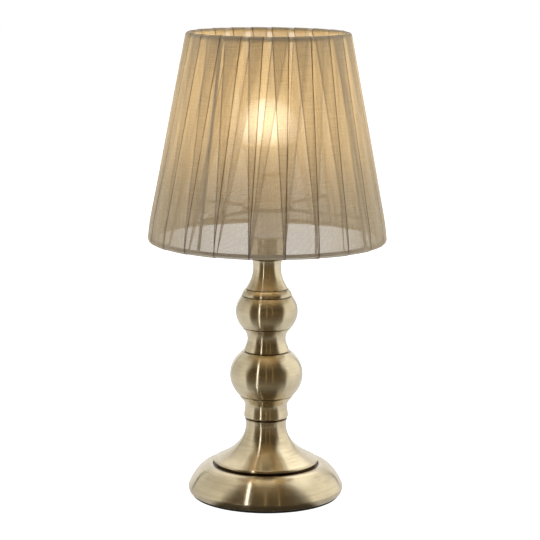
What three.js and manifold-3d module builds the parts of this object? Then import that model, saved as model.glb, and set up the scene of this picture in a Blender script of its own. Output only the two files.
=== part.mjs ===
// Table lamp: turned brass column on a spun base, with a conical shade wound from one ribbon.
// Millimetres, Z up, origin on the table under the column's axis, front towards -Y.
import * as THREE from "three";
import { mergeVertices } from "three/addons/utils/BufferGeometryUtils.js";
import Module from "manifold-3d";

const wasm = await Module();
wasm.setup();

// Clearances
const seatGap = 0.3;
const runningGap = 0.3;

// Facets round a full turn
const baseSides = 40;
const columnSides = 28;
const smallSides = 20;

// Foot: pad, weight and spun shell
const padThickness = 1.4;
const padInset = 0.5;
const shellWall = 1.0;
const rimTuck = 5.2;
const rimTurnIn = 2.5;
const baseRadius = 58.7;
const baseWidestHeight = 6.8;
const stepRadius = 41.2;
const stepHeight = 28.1;
const grooveDepth = 3.2;
const grooveWidth = 2.3;
const trumpetFlareRadius = 24.0;
const trumpetFlareRise = 7.3;
const trumpetNeckRadius = 15.35;
const trumpetNeckHeight = 54.5;
const trumpetTopRadius = 15.9;
const trumpetTopHeight = 59.6;
const weightThickness = 9.0;
const weightSideGap = 3.2;
const weightRecessRadius = 13.5;
const weightRecessDepth = 6.6;

// Cord inlet at the back of the foot
const inletHeight = 9.6;
const inletBoreRadius = 3.1;
const inletWall = 0.9;
const inletFlange = 1.5;
const inletFlangeThickness = 1.1;
const cordChannelWidth = 8.0;

// Threaded rod and its nuts
const rodRadius = 5.0;
const rodBoreRadius = 3.4;
const nutAcrossFlats = 14.0;
const nutHeight = 3.6;
const washerRadius = 10.5;
const washerThickness = 1.4;

// Column pieces, from the foot up
const collarHeight = 17.0;
const collarWaistRadius = 16.05;
const collarFootRadius = 17.0;
const collarBeadRadius = 20.2;
const lowerBallHeight = 33.4;
const lowerBallRadius = 27.5;
const lowerBallHalfHeight = 23.7;
const spoolHeight = 18.1;
const spoolWaistRadius = 14.5;
const spoolFootRadius = 17.0;
const spoolTopRadius = 18.2;
const upperBallHeight = 23.8;
const upperBallRadius = 23.35;
const upperBallHalfHeight = 20.3;
const beadHeight = 5.0;
const beadRadius = 19.1;
const beadTopRadius = 16.8;
const neckHeight = 22.3;
const neckFootRadius = 16.3;
const neckWaistRadius = 10.5;
const neckLipRadius = 11.7;
const columnWall = 1.2;

// Lamp holder
const cupBelowHubTop = 0.5;
const cupRadius = 13.4;
const cupFootRadius = 9.6;
const cupWall = 0.8;
const skirtRadius = 14.0;
const skirtWall = 1.6;
const skirtHeight = 46.0;
const ledgeWidth = 3.3;
const seatFlangeRadius = 17.5;
const seatFlangeThickness = 2.0;
const seatFlangeHeight = 216.6;
const holderHubHeight = 12.0;
const screwShellWall = 0.5;
const insertFloor = 4.1;
const contactTravel = 5.4;
const insertBelowCapTop = 5.0;
const contactStripWidth = 4.0;
const contactStripThickness = 0.5;

// Bulb with a screw cap
const capRadius = 6.95;
const capHeight = 19.0;
const capWall = 0.5;
const insulatorHeight = 3.2;
const contactRadius = 2.4;
const contactHeight = 1.3;
const bulbRadius = 22.5;
const bulbWall = 0.8;
const bulbTop = 300.9;
const bulbLength = 78.0;
const domeBelowCentre = 9.8;
const bulbCollarWall = 1.6;
const ledPlateThickness = 1.5;

// Shade frame of round wire
const wireRadius = 1.25;
const strutRadius = 1.1;
const armRadius = 1.25;
const bottomRingRadius = 86.6;
const topRingRadius = 58.8;
const bottomRingHeight = 197.2;
const topRingHeight = 347.4;
const strutCount = 4;
const firstStrutAngle = -34.5;
const fitterHoleRadius = 14.6;
const fitterRingWidth = 4.4;
const fitterRingThickness = 1.6;
const slitLength = 12.4;

// Ring nut that clamps the shade
const shadeNutRadius = 18.2;
const shadeNutHeight = 5.0;
const shadeNutGrips = 12;
const gripDepth = 0.8;

// Ribbon wound over both rings
const ribbonWidth = 28.0;
const ribbonThickness = 0.25;
const ribbonTurns = 22;
const ribbonLapRise = 0.9;
const ribbonWireGap = 0.3;
const widthSteps = 3;
const wrapSteps = 4;
const ribbonStartAngle = 20;

// Places that follow from the sizes above
const rimFoot = baseRadius - rimTurnIn;
const padRadius = rimFoot - padInset;
const shellFoot = padThickness + seatGap;
const weightFoot = shellFoot + shellWall + seatGap;
const weightTop = weightFoot + weightThickness;
const collarFoot = trumpetTopHeight + seatGap;
const lowerBallFoot = collarFoot + collarHeight + seatGap;
const spoolFoot = lowerBallFoot + lowerBallHeight + seatGap;
const upperBallFoot = spoolFoot + spoolHeight + seatGap;
const beadFoot = upperBallFoot + upperBallHeight + seatGap;
const neckFoot = beadFoot + beadHeight + seatGap;
const cupFoot = neckFoot + neckHeight + seatGap;
const columnNutFoot = cupFoot + cupWall + seatGap;
const hubFoot = columnNutFoot + nutHeight + seatGap;
const hubTop = hubFoot + holderHubHeight;
const skirtFoot = hubTop + seatGap;
const skirtTop = skirtFoot + skirtHeight;
const boreRadius = rodRadius + runningGap;
const bulbTip = bulbTop - bulbLength;
const insulatorFoot = bulbTip + contactHeight + 0.1;
const capFoot = insulatorFoot + insulatorHeight + 0.1;
const capTop = capFoot + capHeight;
const bulbCentre = bulbTop - bulbRadius;
const domeFoot = bulbCentre - domeBelowCentre;
const fitterFoot = seatFlangeHeight + seatFlangeThickness + seatGap;
const fitterTop = fitterFoot + fitterRingThickness;
const shadeNutFoot = fitterTop + seatGap;
const armHeight = fitterFoot + fitterRingThickness / 2;
const slope = new THREE.Vector2(topRingRadius - bottomRingRadius, topRingHeight - bottomRingHeight);
const slopeUp = slope.clone().normalize();
const slopeOut = new THREE.Vector2(slopeUp.y, -slopeUp.x);
const turnPitch = (2 * Math.PI) / ribbonTurns;

const degrees = Math.PI / 180;
const point = (r, z) => new THREE.Vector2(r, z);

// Named mesh with its own finish
function piece(name, geometry, colour, roughness, metalness) {
  const finish = new THREE.MeshStandardMaterial({ color: colour, roughness, metalness });
  const mesh = new THREE.Mesh(geometry, finish);
  mesh.name = name;
  return mesh;
}

// Closed radius and height profile spun about Z
function spun(profile, sides) {
  const closed = [...profile, profile[0].clone()];
  const geometry = new THREE.LatheGeometry(closed, sides);
  return geometry.rotateX(Math.PI / 2);
}

// Profile that starts and ends on the axis, spun about Z
function spunSolid(profile, sides) {
  const geometry = new THREE.LatheGeometry(profile, sides);
  return geometry.rotateX(Math.PI / 2);
}

function ring(inner, outer, foot, top, sides) {
  return spun([point(inner, foot), point(outer, foot), point(outer, top), point(inner, top)], sides);
}

function curve(a, b, c, d, steps) {
  return new THREE.CubicBezierCurve(a, b, c, d).getPoints(steps);
}

// Part of an ellipse between two heights, centred on the axis
function ballCurve(centre, radius, halfHeight, foot, top, steps) {
  const first = Math.asin((foot - centre) / halfHeight);
  const last = Math.asin((top - centre) / halfHeight);
  return Array.from({ length: steps + 1 }, (_, i) => {
    const angle = first + ((last - first) * i) / steps;
    return point(radius * Math.cos(angle), centre + halfHeight * Math.sin(angle));
  });
}

// Same rising outline moved inwards by the wall
function inset(outline, wall) {
  return outline.map((p, i) => {
    const before = outline[Math.max(0, i - 1)];
    const after = outline[Math.min(outline.length - 1, i + 1)];
    const along = after.clone().sub(before).normalize();
    return point(p.x - wall * along.y, p.y + wall * along.x);
  });
}

function everyThird(points) {
  return points.filter((_, i) => i % 3 === 0 || i === points.length - 1);
}

// Hollow spun piece with a hole for the rod in its two end faces
function columnShell(outline, sides) {
  const foot = outline[0].y;
  const top = outline[outline.length - 1].y;
  const inner = everyThird(inset(outline, columnWall)).filter(
    (p) => p.y > foot + columnWall && p.y < top - columnWall,
  );
  const footInner = point(outline[0].x - columnWall, foot + columnWall);
  const topInner = point(outline[outline.length - 1].x - columnWall, top - columnWall);
  return spun(
    [
      point(boreRadius, foot),
      ...outline,
      point(boreRadius, top),
      point(boreRadius, top - columnWall),
      topInner,
      ...inner.reverse(),
      footInner,
      point(boreRadius, foot + columnWall),
    ],
    sides,
  );
}

// Solids for cuts and joins
function solidOf(geometry) {
  const plain = (geometry.index ? geometry.toNonIndexed() : geometry.clone());
  plain.deleteAttribute("normal");
  plain.deleteAttribute("uv");
  const merged = mergeVertices(plain, 1e-4);
  return new wasm.Manifold(
    new wasm.Mesh({
      numProp: 3,
      vertProperties: new Float32Array(merged.attributes.position.array),
      triVerts: new Uint32Array(merged.index.array),
    }),
  );
}

function geometryOf(solid) {
  const mesh = solid.getMesh();
  const geometry = new THREE.BufferGeometry();
  geometry.setAttribute("position", new THREE.BufferAttribute(new Float32Array(mesh.vertProperties), 3));
  geometry.setIndex(new THREE.BufferAttribute(new Uint32Array(mesh.triVerts), 1));
  geometry.computeVertexNormals();
  return geometry;
}

function cut(body, ...tools) {
  return geometryOf(tools.reduce((left, tool) => left.subtract(solidOf(tool)), solidOf(body)));
}

function box(low, high) {
  const size = high.clone().sub(low);
  const geometry = new THREE.BoxGeometry(size.x, size.y, size.z);
  const middle = low.clone().add(high).multiplyScalar(0.5);
  return geometry.translate(middle.x, middle.y, middle.z);
}

// Round bar between two points
function bar(from, to, radius, sides) {
  const along = to.clone().sub(from);
  const geometry = new THREE.CylinderGeometry(radius, radius, along.length(), sides);
  const turn = new THREE.Quaternion().setFromUnitVectors(new THREE.Vector3(0, 1, 0), along.clone().normalize());
  geometry.applyQuaternion(turn);
  const middle = from.clone().add(to).multiplyScalar(0.5);
  return geometry.translate(middle.x, middle.y, middle.z);
}

// Place at an azimuth that starts at the front and grows towards +X
function around(radius, azimuth, height) {
  return new THREE.Vector3(radius * Math.sin(azimuth), -radius * Math.cos(azimuth), height);
}

function basePad() {
  return spunSolid([point(0, 0), point(padRadius, 0), point(padRadius, padThickness), point(0, padThickness)], baseSides);
}

function baseOutline() {
  const groove = stepHeight - grooveDepth;
  const crest = point(stepRadius + grooveWidth, groove + 0.6);
  const rim = curve(
    point(rimFoot, shellFoot),
    point(rimFoot + 1.4, shellFoot),
    point(baseRadius, baseWidestHeight - 3.1),
    point(baseRadius, baseWidestHeight),
    3,
  );
  const dome = curve(
    point(baseRadius, baseWidestHeight),
    point(baseRadius - 0.3, baseWidestHeight + 6.8),
    point(crest.x + 6.3, crest.y - 2.9),
    crest,
    6,
  );
  const step = [
    point(stepRadius + grooveWidth - 0.9, groove),
    point(stepRadius + 0.3, groove + 0.1),
    point(stepRadius + 0.1, stepHeight - 0.9),
    point(stepRadius - 0.4, stepHeight - 0.1),
  ];
  const trumpet = curve(
    point(stepRadius - 1.2, stepHeight + 0.25),
    point(trumpetFlareRadius, stepHeight + trumpetFlareRise),
    point(trumpetNeckRadius, trumpetNeckHeight - 10.5),
    point(trumpetNeckRadius, trumpetNeckHeight),
    7,
  );
  const top = [point(trumpetTopRadius - 0.2, trumpetTopHeight - 2.2), point(trumpetTopRadius, trumpetTopHeight)];
  return { rim, dome, step, trumpet, top };
}

function baseShell() {
  const { rim, dome, step, trumpet, top } = baseOutline();
  const outer = [...rim, ...dome.slice(1), ...step, ...trumpet, ...top];
  const inner = [...everyThird(inset(dome, shellWall)).slice(0, -1), ...everyThird(inset(trumpet, shellWall))];
  const tuck = rimFoot - rimTuck;
  const body = spun(
    [
      point(tuck, shellFoot),
      ...outer,
      point(boreRadius, trumpetTopHeight),
      point(boreRadius, trumpetTopHeight - shellWall),
      point(trumpetTopRadius - shellWall, trumpetTopHeight - shellWall),
      ...inner.reverse(),
      point(baseRadius - shellWall - 0.9, shellFoot + shellWall),
      point(tuck, shellFoot + shellWall),
    ],
    baseSides,
  );
  const hole = bar(
    new THREE.Vector3(0, baseRadius - 8, inletHeight),
    new THREE.Vector3(0, baseRadius + 4, inletHeight),
    inletBoreRadius + inletWall + seatGap,
    smallSides,
  );
  return cut(body, hole);
}

// Cast disc with a recess for the nut and a channel for the cord
function baseWeight() {
  const radius = baseRadius - shellWall - weightSideGap;
  const recessTop = weightFoot + weightRecessDepth;
  const disc = spun(
    [
      point(weightRecessRadius, weightFoot),
      point(radius - 1, weightFoot),
      point(radius, weightFoot + 1),
      point(radius, weightTop - 1.5),
      point(radius - 1.5, weightTop),
      point(boreRadius, weightTop),
      point(boreRadius, recessTop),
      point(weightRecessRadius, recessTop),
    ],
    baseSides,
  );
  const half = cordChannelWidth / 2;
  const channel = box(
    new THREE.Vector3(-half, weightRecessRadius - 2, weightFoot - 1),
    new THREE.Vector3(half, radius + 1, recessTop - 0.6),
  );
  const notch = box(
    new THREE.Vector3(-half, radius - 10, weightFoot - 1),
    new THREE.Vector3(half, radius + 1, weightTop + 1),
  );
  return cut(disc, channel, notch);
}

// Bush with a flange outside the shell and a groove over its wall
function cordInletBush() {
  const face = baseRadius + seatGap - 0.2;
  const outer = inletBoreRadius + inletWall;
  const flange = outer + inletFlange;
  const profile = [
    point(inletBoreRadius, face - 5.2),
    point(outer, face - 5.2),
    point(outer, face),
    point(flange, face),
    point(flange - 0.4, face + inletFlangeThickness),
    point(inletBoreRadius + 0.5, face + inletFlangeThickness),
    point(inletBoreRadius, face + inletFlangeThickness - 0.4),
  ];
  const geometry = new THREE.LatheGeometry([...profile, profile[0].clone()], smallSides);
  return geometry.translate(0, 0, inletHeight);
}

function hexNut(foot, sides) {
  const shape = new THREE.Shape(
    Array.from({ length: 6 }, (_, i) => {
      const radius = nutAcrossFlats / 2 / Math.cos(30 * degrees);
      return point(radius * Math.cos(i * 60 * degrees), radius * Math.sin(i * 60 * degrees));
    }),
  );
  shape.holes.push(new THREE.Path().absarc(0, 0, boreRadius, 0, 2 * Math.PI, true));
  const geometry = new THREE.ExtrudeGeometry(shape, { depth: nutHeight, bevelEnabled: false, curveSegments: sides });
  return geometry.translate(0, 0, foot);
}

const washerTop = weightFoot + weightRecessDepth - seatGap;
const lowerNutFoot = washerTop - washerThickness - seatGap - nutHeight;

function rodWasher() {
  return ring(boreRadius, washerRadius, washerTop - washerThickness, washerTop, smallSides);
}

function threadedRod() {
  return ring(rodBoreRadius, rodRadius, lowerNutFoot - 0.8, hubFoot + holderHubHeight * 0.6, smallSides);
}

function footCollar() {
  const foot = collarFoot;
  const top = collarFoot + collarHeight;
  const waist = foot + collarHeight * 0.51;
  const flare = curve(
    point(collarFootRadius - 0.1, foot + 0.9),
    point(collarFootRadius - 0.3, foot + 3.6),
    point(collarWaistRadius, waist - 2.8),
    point(collarWaistRadius, waist),
    3,
  );
  const cove = curve(
    point(collarWaistRadius, waist),
    point(collarWaistRadius, waist + 3.4),
    point(collarBeadRadius - 1.6, top - 3.3),
    point(collarBeadRadius, top - 0.7),
    4,
  );
  const outline = [point(collarFootRadius - 0.7, foot), ...flare, ...cove.slice(1), point(collarBeadRadius - 0.4, top)];
  return columnShell(outline, columnSides);
}

function lowerBall() {
  const centre = lowerBallFoot + lowerBallHeight * 0.467;
  const top = lowerBallFoot + lowerBallHeight;
  return columnShell(
    ballCurve(centre, lowerBallRadius, lowerBallHalfHeight, lowerBallFoot, top, 10),
    columnSides,
  );
}

function waistSpool() {
  const foot = spoolFoot;
  const top = spoolFoot + spoolHeight;
  const waist = foot + spoolHeight * 0.5;
  const lower = curve(
    point(spoolFootRadius, foot + 0.5),
    point(spoolFootRadius - 0.8, foot + 3.7),
    point(spoolWaistRadius, waist - 2.9),
    point(spoolWaistRadius, waist),
    4,
  );
  const upper = curve(
    point(spoolWaistRadius, waist),
    point(spoolWaistRadius, waist + 4.3),
    point(spoolTopRadius - 1.6, top - 2.4),
    point(spoolTopRadius, top - 0.5),
    4,
  );
  const outline = [point(spoolFootRadius - 0.4, foot), ...lower, ...upper.slice(1), point(spoolTopRadius - 0.2, top)];
  return columnShell(outline, columnSides);
}

function upperBall() {
  const centre = upperBallFoot + upperBallHeight * 0.504;
  const top = upperBallFoot + upperBallHeight;
  return columnShell(
    ballCurve(centre, upperBallRadius, upperBallHalfHeight, upperBallFoot, top, 9),
    columnSides,
  );
}

function beadRing() {
  const top = beadFoot + beadHeight;
  const outline = curve(
    point(beadRadius - 0.2, beadFoot),
    point(beadRadius, beadFoot + 2.0),
    point(beadRadius - 1.2, top - 1.0),
    point(beadTopRadius, top),
    5,
  );
  return spun([point(boreRadius, beadFoot), ...outline, point(boreRadius, top)], columnSides);
}

function neckVase() {
  const top = neckFoot + neckHeight;
  const waist = neckFoot + neckHeight * 0.7;
  const body = curve(
    point(neckFootRadius, neckFoot),
    point(neckFootRadius - 1.9, neckFoot + 3.3),
    point(neckWaistRadius, neckFoot + 8.3),
    point(neckWaistRadius, waist),
    6,
  );
  const lip = curve(
    point(neckWaistRadius, waist),
    point(neckWaistRadius, waist + 3.2),
    point(neckLipRadius - 0.6, top - 1.2),
    point(neckLipRadius, top),
    3,
  );
  return columnShell([...body, ...lip.slice(1)], columnSides);
}

// Open spun cup that hides the holder's foot
function holderCup() {
  const top = hubTop - cupBelowHubTop;
  const outline = curve(
    point(cupFootRadius, cupFoot),
    point(cupRadius - 0.6, cupFoot + 1.0),
    point(cupRadius, cupFoot + 4.0),
    point(cupRadius, cupFoot + 8.0),
    4,
  );
  const inner = everyThird(inset(outline, cupWall)).slice(1);
  return spun(
    [
      point(boreRadius, cupFoot),
      ...outline,
      point(cupRadius, top),
      point(cupRadius - cupWall, top),
      ...inner.reverse(),
      point(cupFootRadius - 0.2, cupFoot + cupWall),
      point(boreRadius, cupFoot + cupWall),
    ],
    columnSides,
  );
}

// Moulded foot of the holder with the threaded entry for the rod
function holderBase() {
  const radius = cupRadius - cupWall - seatGap;
  return spun(
    [
      point(boreRadius, hubFoot),
      point(radius - 3.0, hubFoot),
      point(radius, hubFoot + 3.2),
      point(radius, hubTop),
      point(rodBoreRadius, hubTop),
      point(rodBoreRadius, hubTop - 2.5),
      point(boreRadius, hubTop - 3.0),
    ],
    smallSides,
  );
}

// Sleeve with the flange that the shade sits on
function holderSkirt() {
  const inner = skirtRadius - skirtWall;
  const ledge = inner - ledgeWidth;
  return spun(
    [
      point(ledge, skirtFoot),
      point(skirtRadius - 1.2, skirtFoot),
      point(skirtRadius, skirtFoot + 3.0),
      point(skirtRadius, seatFlangeHeight),
      point(seatFlangeRadius, seatFlangeHeight),
      point(seatFlangeRadius, seatFlangeHeight + seatFlangeThickness),
      point(skirtRadius, seatFlangeHeight + seatFlangeThickness),
      point(skirtRadius, skirtTop - 0.8),
      point(skirtRadius - 0.8, skirtTop),
      point(inner, skirtTop),
      point(inner, insertFoot - seatGap),
      point(ledge, insertFoot - seatGap),
    ],
    columnSides,
  );
}

const screwShellRadius = capRadius + runningGap;
const insertFoot = bulbTip - insertFloor - contactTravel - seatGap;
const insertTop = capTop - insertBelowCapTop;

// Screw shell that grips the bulb's cap
function screwShell() {
  const outer = screwShellRadius + screwShellWall;
  return ring(screwShellRadius, outer, insertFoot + insertFloor + seatGap, insertTop, smallSides);
}

// Moulded insert that carries the screw shell and the centre contact
function holderInsert() {
  const outer = skirtRadius - skirtWall - seatGap;
  const inner = screwShellRadius + screwShellWall + seatGap;
  const body = spun(
    [
      point(1.6, insertFoot),
      point(outer, insertFoot),
      point(outer, insertTop),
      point(inner, insertTop),
      point(inner, insertFoot + insertFloor),
      point(1.6, insertFoot + insertFloor),
    ],
    smallSides,
  );
  return body;
}

// Bent spring strip under the bulb's tip
function centreContact() {
  const floor = insertFoot + insertFloor + seatGap;
  const peak = bulbTip - seatGap;
  const strip = new THREE.Shape([
    point(-5.0, floor),
    point(-3.0, floor),
    point(0.6, peak - contactStripThickness),
    point(2.2, peak - contactStripThickness),
    point(2.2, peak),
    point(0.2, peak),
    point(-3.4, floor + contactStripThickness),
    point(-5.0, floor + contactStripThickness),
  ]);
  const geometry = new THREE.ExtrudeGeometry(strip, { depth: contactStripWidth, bevelEnabled: false });
  geometry.rotateX(Math.PI / 2);
  return geometry.translate(0, contactStripWidth / 2, 0);
}

function bulbContact() {
  const top = bulbTip + contactHeight;
  return spunSolid(
    [point(0, bulbTip), point(contactRadius - 1.0, bulbTip), point(contactRadius, bulbTip + 0.7), point(contactRadius, top), point(0, top)],
    16,
  );
}

function bulbInsulator() {
  const top = insulatorFoot + insulatorHeight;
  return spunSolid(
    [point(0, insulatorFoot), point(contactRadius + 0.8, insulatorFoot), point(capRadius - 1.0, top), point(0, top)],
    smallSides,
  );
}

// Screw cap, its thread drawn as rounded turns
function bulbCap() {
  const turns = 3;
  const depth = 0.5;
  const length = capHeight - 4.0;
  const wave = Array.from({ length: turns * 2 + 1 }, (_, i) => {
    const z = capFoot + 1.0 + (length * i) / (turns * 2);
    return point(i % 2 === 0 ? capRadius - depth : capRadius, z);
  });
  const inside = capRadius - depth - capWall;
  return spun(
    [point(inside - 0.6, capFoot), ...wave, point(capRadius - depth, capTop), point(inside, capTop), point(inside, capFoot + 1.2)],
    smallSides,
  );
}

const bulbNeckRadius = 10.5;

// Flared body between the screw cap and the dome
function bulbCollar() {
  const foot = capTop + 0.1;
  const top = domeFoot - 0.2;
  const rim = Math.sqrt(bulbRadius ** 2 - domeBelowCentre ** 2);
  const outline = curve(
    point(bulbNeckRadius, foot),
    point(bulbNeckRadius + 0.8, foot + 8.0),
    point(rim - 3.0, top - 9.0),
    point(rim, top),
    6,
  );
  return spun(
    [
      point(4.0, foot),
      ...outline,
      point(rim - bulbCollarWall, top),
      point(bulbNeckRadius - bulbCollarWall + 1.0, foot + bulbCollarWall + 2.0),
      point(4.0, foot + bulbCollarWall),
    ],
    smallSides,
  );
}

// Diffusing dome, open at its foot
function bulbDome() {
  const outer = ballCurve(bulbCentre, bulbRadius, bulbRadius, domeFoot, bulbTop, 8);
  outer[outer.length - 1].x = 0;
  const hollow = bulbRadius - bulbWall;
  const inner = ballCurve(bulbCentre, hollow, hollow, domeFoot, bulbTop - bulbWall, 5);
  inner[inner.length - 1].x = 0;
  return spunSolid([...inner.reverse(), ...outer], smallSides);
}

function bulbLedPlate() {
  const radius = Math.sqrt((bulbRadius - bulbWall) ** 2 - domeBelowCentre ** 2) - seatGap;
  const foot = domeFoot + 0.1;
  return spunSolid(
    [point(0, foot), point(radius, foot), point(radius, foot + ledPlateThickness), point(0, foot + ledPlateThickness)],
    smallSides,
  );
}

function wireRing(radius, height) {
  const geometry = new THREE.TorusGeometry(radius, wireRadius, 6, baseSides);
  return geometry.translate(0, 0, height);
}

// Point on a wrap about a ring's wire, offset out, up, in and down as the angle grows
function wrapPoint(ringRadius, ringHeight, distance, angle) {
  const out = distance * Math.cos(angle);
  const up = distance * Math.sin(angle);
  return point(
    ringRadius + out * slopeOut.x + up * slopeUp.x,
    ringHeight + out * slopeOut.y + up * slopeUp.y,
  );
}

function strutAngle(index) {
  return (firstStrutAngle + (index * 360) / strutCount) * degrees;
}

// Strut between the rings, in the space between the two ribbon layers
function shadeStrut(index) {
  const ends = wireRadius + seatGap;
  const length = slope.length();
  const at = (s) => around(bottomRingRadius + slopeUp.x * s, strutAngle(index), bottomRingHeight + slopeUp.y * s);
  return bar(at(ends), at(length - ends), strutRadius, 6);
}

const frameRadiusAtArms = bottomRingRadius + ((armHeight - bottomRingHeight) * slopeUp.x) / slopeUp.y;
const armOuter = frameRadiusAtArms - strutRadius - seatGap - 0.1;
const armInner = fitterHoleRadius + fitterRingWidth + seatGap;

function spiderArm(index) {
  const azimuth = strutAngle(index);
  return bar(around(armInner, azimuth, armHeight), around(armOuter, azimuth, armHeight), armRadius, 8);
}

function fitterRing() {
  return ring(fitterHoleRadius, fitterHoleRadius + fitterRingWidth, fitterFoot, fitterTop, columnSides);
}

// Threaded ring with grip flutes round its edge
function shadeNut() {
  const shape = new THREE.Shape();
  const steps = shadeNutGrips * 4;
  for (let i = 0; i < steps; i += 1) {
    const angle = (i / steps) * 2 * Math.PI;
    const radius = shadeNutRadius - gripDepth * (0.5 - 0.5 * Math.cos(shadeNutGrips * angle));
    const x = radius * Math.cos(angle);
    const y = radius * Math.sin(angle);
    if (i === 0) shape.moveTo(x, y);
    else shape.lineTo(x, y);
  }
  shape.closePath();
  shape.holes.push(new THREE.Path().absarc(0, 0, skirtRadius + runningGap, 0, 2 * Math.PI, true));
  const geometry = new THREE.ExtrudeGeometry(shape, { depth: shadeNutHeight, bevelEnabled: false, curveSegments: columnSides });
  return geometry.translate(0, 0, shadeNutFoot);
}

// Distance of the ribbon's middle from the wire, growing to the right so that each turn laps the next
function ribbonDistance(spread) {
  const widest = ribbonWidth / 2 / topRingRadius;
  const least = wireRadius + ribbonWireGap + ribbonThickness / 2;
  return least + (ribbonLapRise * (spread + widest)) / turnPitch;
}

// Cross section of the ribbon at one ring, as pairs of skins across the width
function ribbonSection(ringRadius, ringHeight, wrapAngle, azimuth) {
  const half = ribbonWidth / 2 / ringRadius;
  const skin = (offset) =>
    Array.from({ length: widthSteps + 1 }, (_, i) => {
      const spread = half * ((2 * i) / widthSteps - 1);
      const p = wrapPoint(ringRadius, ringHeight, ribbonDistance(spread) + offset, wrapAngle);
      return around(p.x, azimuth + spread, p.y);
    });
  return [...skin(ribbonThickness / 2), ...skin(-ribbonThickness / 2).reverse()];
}

// Sections in winding order: under the bottom ring, up outside, over the top ring, down inside
function ribbonSections() {
  const sections = [];
  for (let turn = 0; turn < ribbonTurns; turn += 1) {
    const azimuth = -turn * turnPitch;
    const start = turn === 0 ? ribbonStartAngle : 0;
    for (let i = 0; i <= wrapSteps; i += 1) {
      const angle = (180 + start + ((180 - start) * i) / wrapSteps) * degrees;
      sections.push(ribbonSection(bottomRingRadius, bottomRingHeight, angle, azimuth));
    }
    for (let i = 0; i <= wrapSteps; i += 1) {
      const angle = ((180 * i) / wrapSteps) * degrees;
      sections.push(ribbonSection(topRingRadius, topRingHeight, angle, azimuth));
    }
  }
  sections.push(ribbonSection(bottomRingRadius, bottomRingHeight, Math.PI, -ribbonTurns * turnPitch));
  return sections;
}

// Corners of the two facets between a section and the next, both skins folded along the same diagonal
function facetPair(row, column) {
  const corners = 2 * (widthSteps + 1);
  const at = (s, i) => s * corners + (i % corners);
  const a = at(row, column);
  const b = at(row, column + 1);
  const c = at(row + 1, column + 1);
  const d = at(row + 1, column);
  return column < widthSteps ? [[a, b, c], [a, c, d]] : [[a, b, d], [b, c, d]];
}

// Unbroken ribbon skinned over its sections, with a cap at each end
function shadeRibbon() {
  const sections = ribbonSections();
  const corners = 2 * (widthSteps + 1);
  const faces = [];
  for (let s = 0; s + 1 < sections.length; s += 1) {
    for (let i = 0; i < corners; i += 1) faces.push(...facetPair(s, i).flat());
  }
  const last = (sections.length - 1) * corners;
  for (let a = 0; a < widthSteps; a += 1) {
    const b = a + 1;
    const c = corners - 2 - a;
    const d = corners - 1 - a;
    faces.push(a, c, b, a, d, c);
    faces.push(last + a, last + b, last + c, last + a, last + c, last + d);
  }
  const geometry = new THREE.BufferGeometry();
  const positions = sections.flat().flatMap((p) => [p.x, p.y, p.z]);
  geometry.setAttribute("position", new THREE.Float32BufferAttribute(positions, 3));
  geometry.setIndex(faces);
  const slits = Array.from({ length: strutCount }, (_, i) =>
    bar(
      around(frameRadiusAtArms - strutRadius - slitLength, strutAngle(i), armHeight),
      around(frameRadiusAtArms, strutAngle(i), armHeight),
      armRadius + seatGap + 0.2,
      8,
    ),
  );
  return cut(geometry, ...slits);
}

// Least gap between one turn of the ribbon and the next, from points on the facets to the facets across
function ribbonLeastGap() {
  const corners = ribbonSections().flat();
  const rowsPerTurn = 2 * (wrapSteps + 1);
  const fineness = 12;
  const facetsOf = (turn) => {
    const rows = Array.from({ length: rowsPerTurn }, (_, i) => turn * rowsPerTurn + i);
    return rows.flatMap((row) =>
      Array.from({ length: 2 * (widthSteps + 1) }, (_, column) => facetPair(row, column))
        .flat()
        .map((facet) => ({ row, triangle: new THREE.Triangle(...facet.map((i) => corners[i])) })),
    );
  };
  const pointsOn = ({ a, b, c }) => {
    const points = [];
    for (let i = 0; i <= fineness; i += 1) {
      for (let j = 0; j <= fineness - i; j += 1) {
        const ab = a.clone().lerp(b, i / fineness);
        points.push(ab.addScaledVector(c.clone().sub(a), j / fineness));
      }
    }
    return points;
  };
  const joined = wrapSteps + 2;
  const nearest = new THREE.Vector3();
  let least = Infinity;
  for (const [one, two] of [
    [facetsOf(2), facetsOf(3)],
    [facetsOf(3), facetsOf(2)],
  ]) {
    for (const { row, triangle } of one) {
      const others = two.filter((other) => Math.abs(other.row - row) > joined);
      for (const p of pointsOn(triangle)) {
        for (const other of others) {
          other.triangle.closestPointToPoint(p, nearest);
          least = Math.min(least, nearest.distanceToSquared(p));
        }
      }
    }
  }
  return Math.sqrt(least);
}

console.log("least gap of the ribbon to itself: " + ribbonLeastGap().toFixed(2) + " mm");

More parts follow.
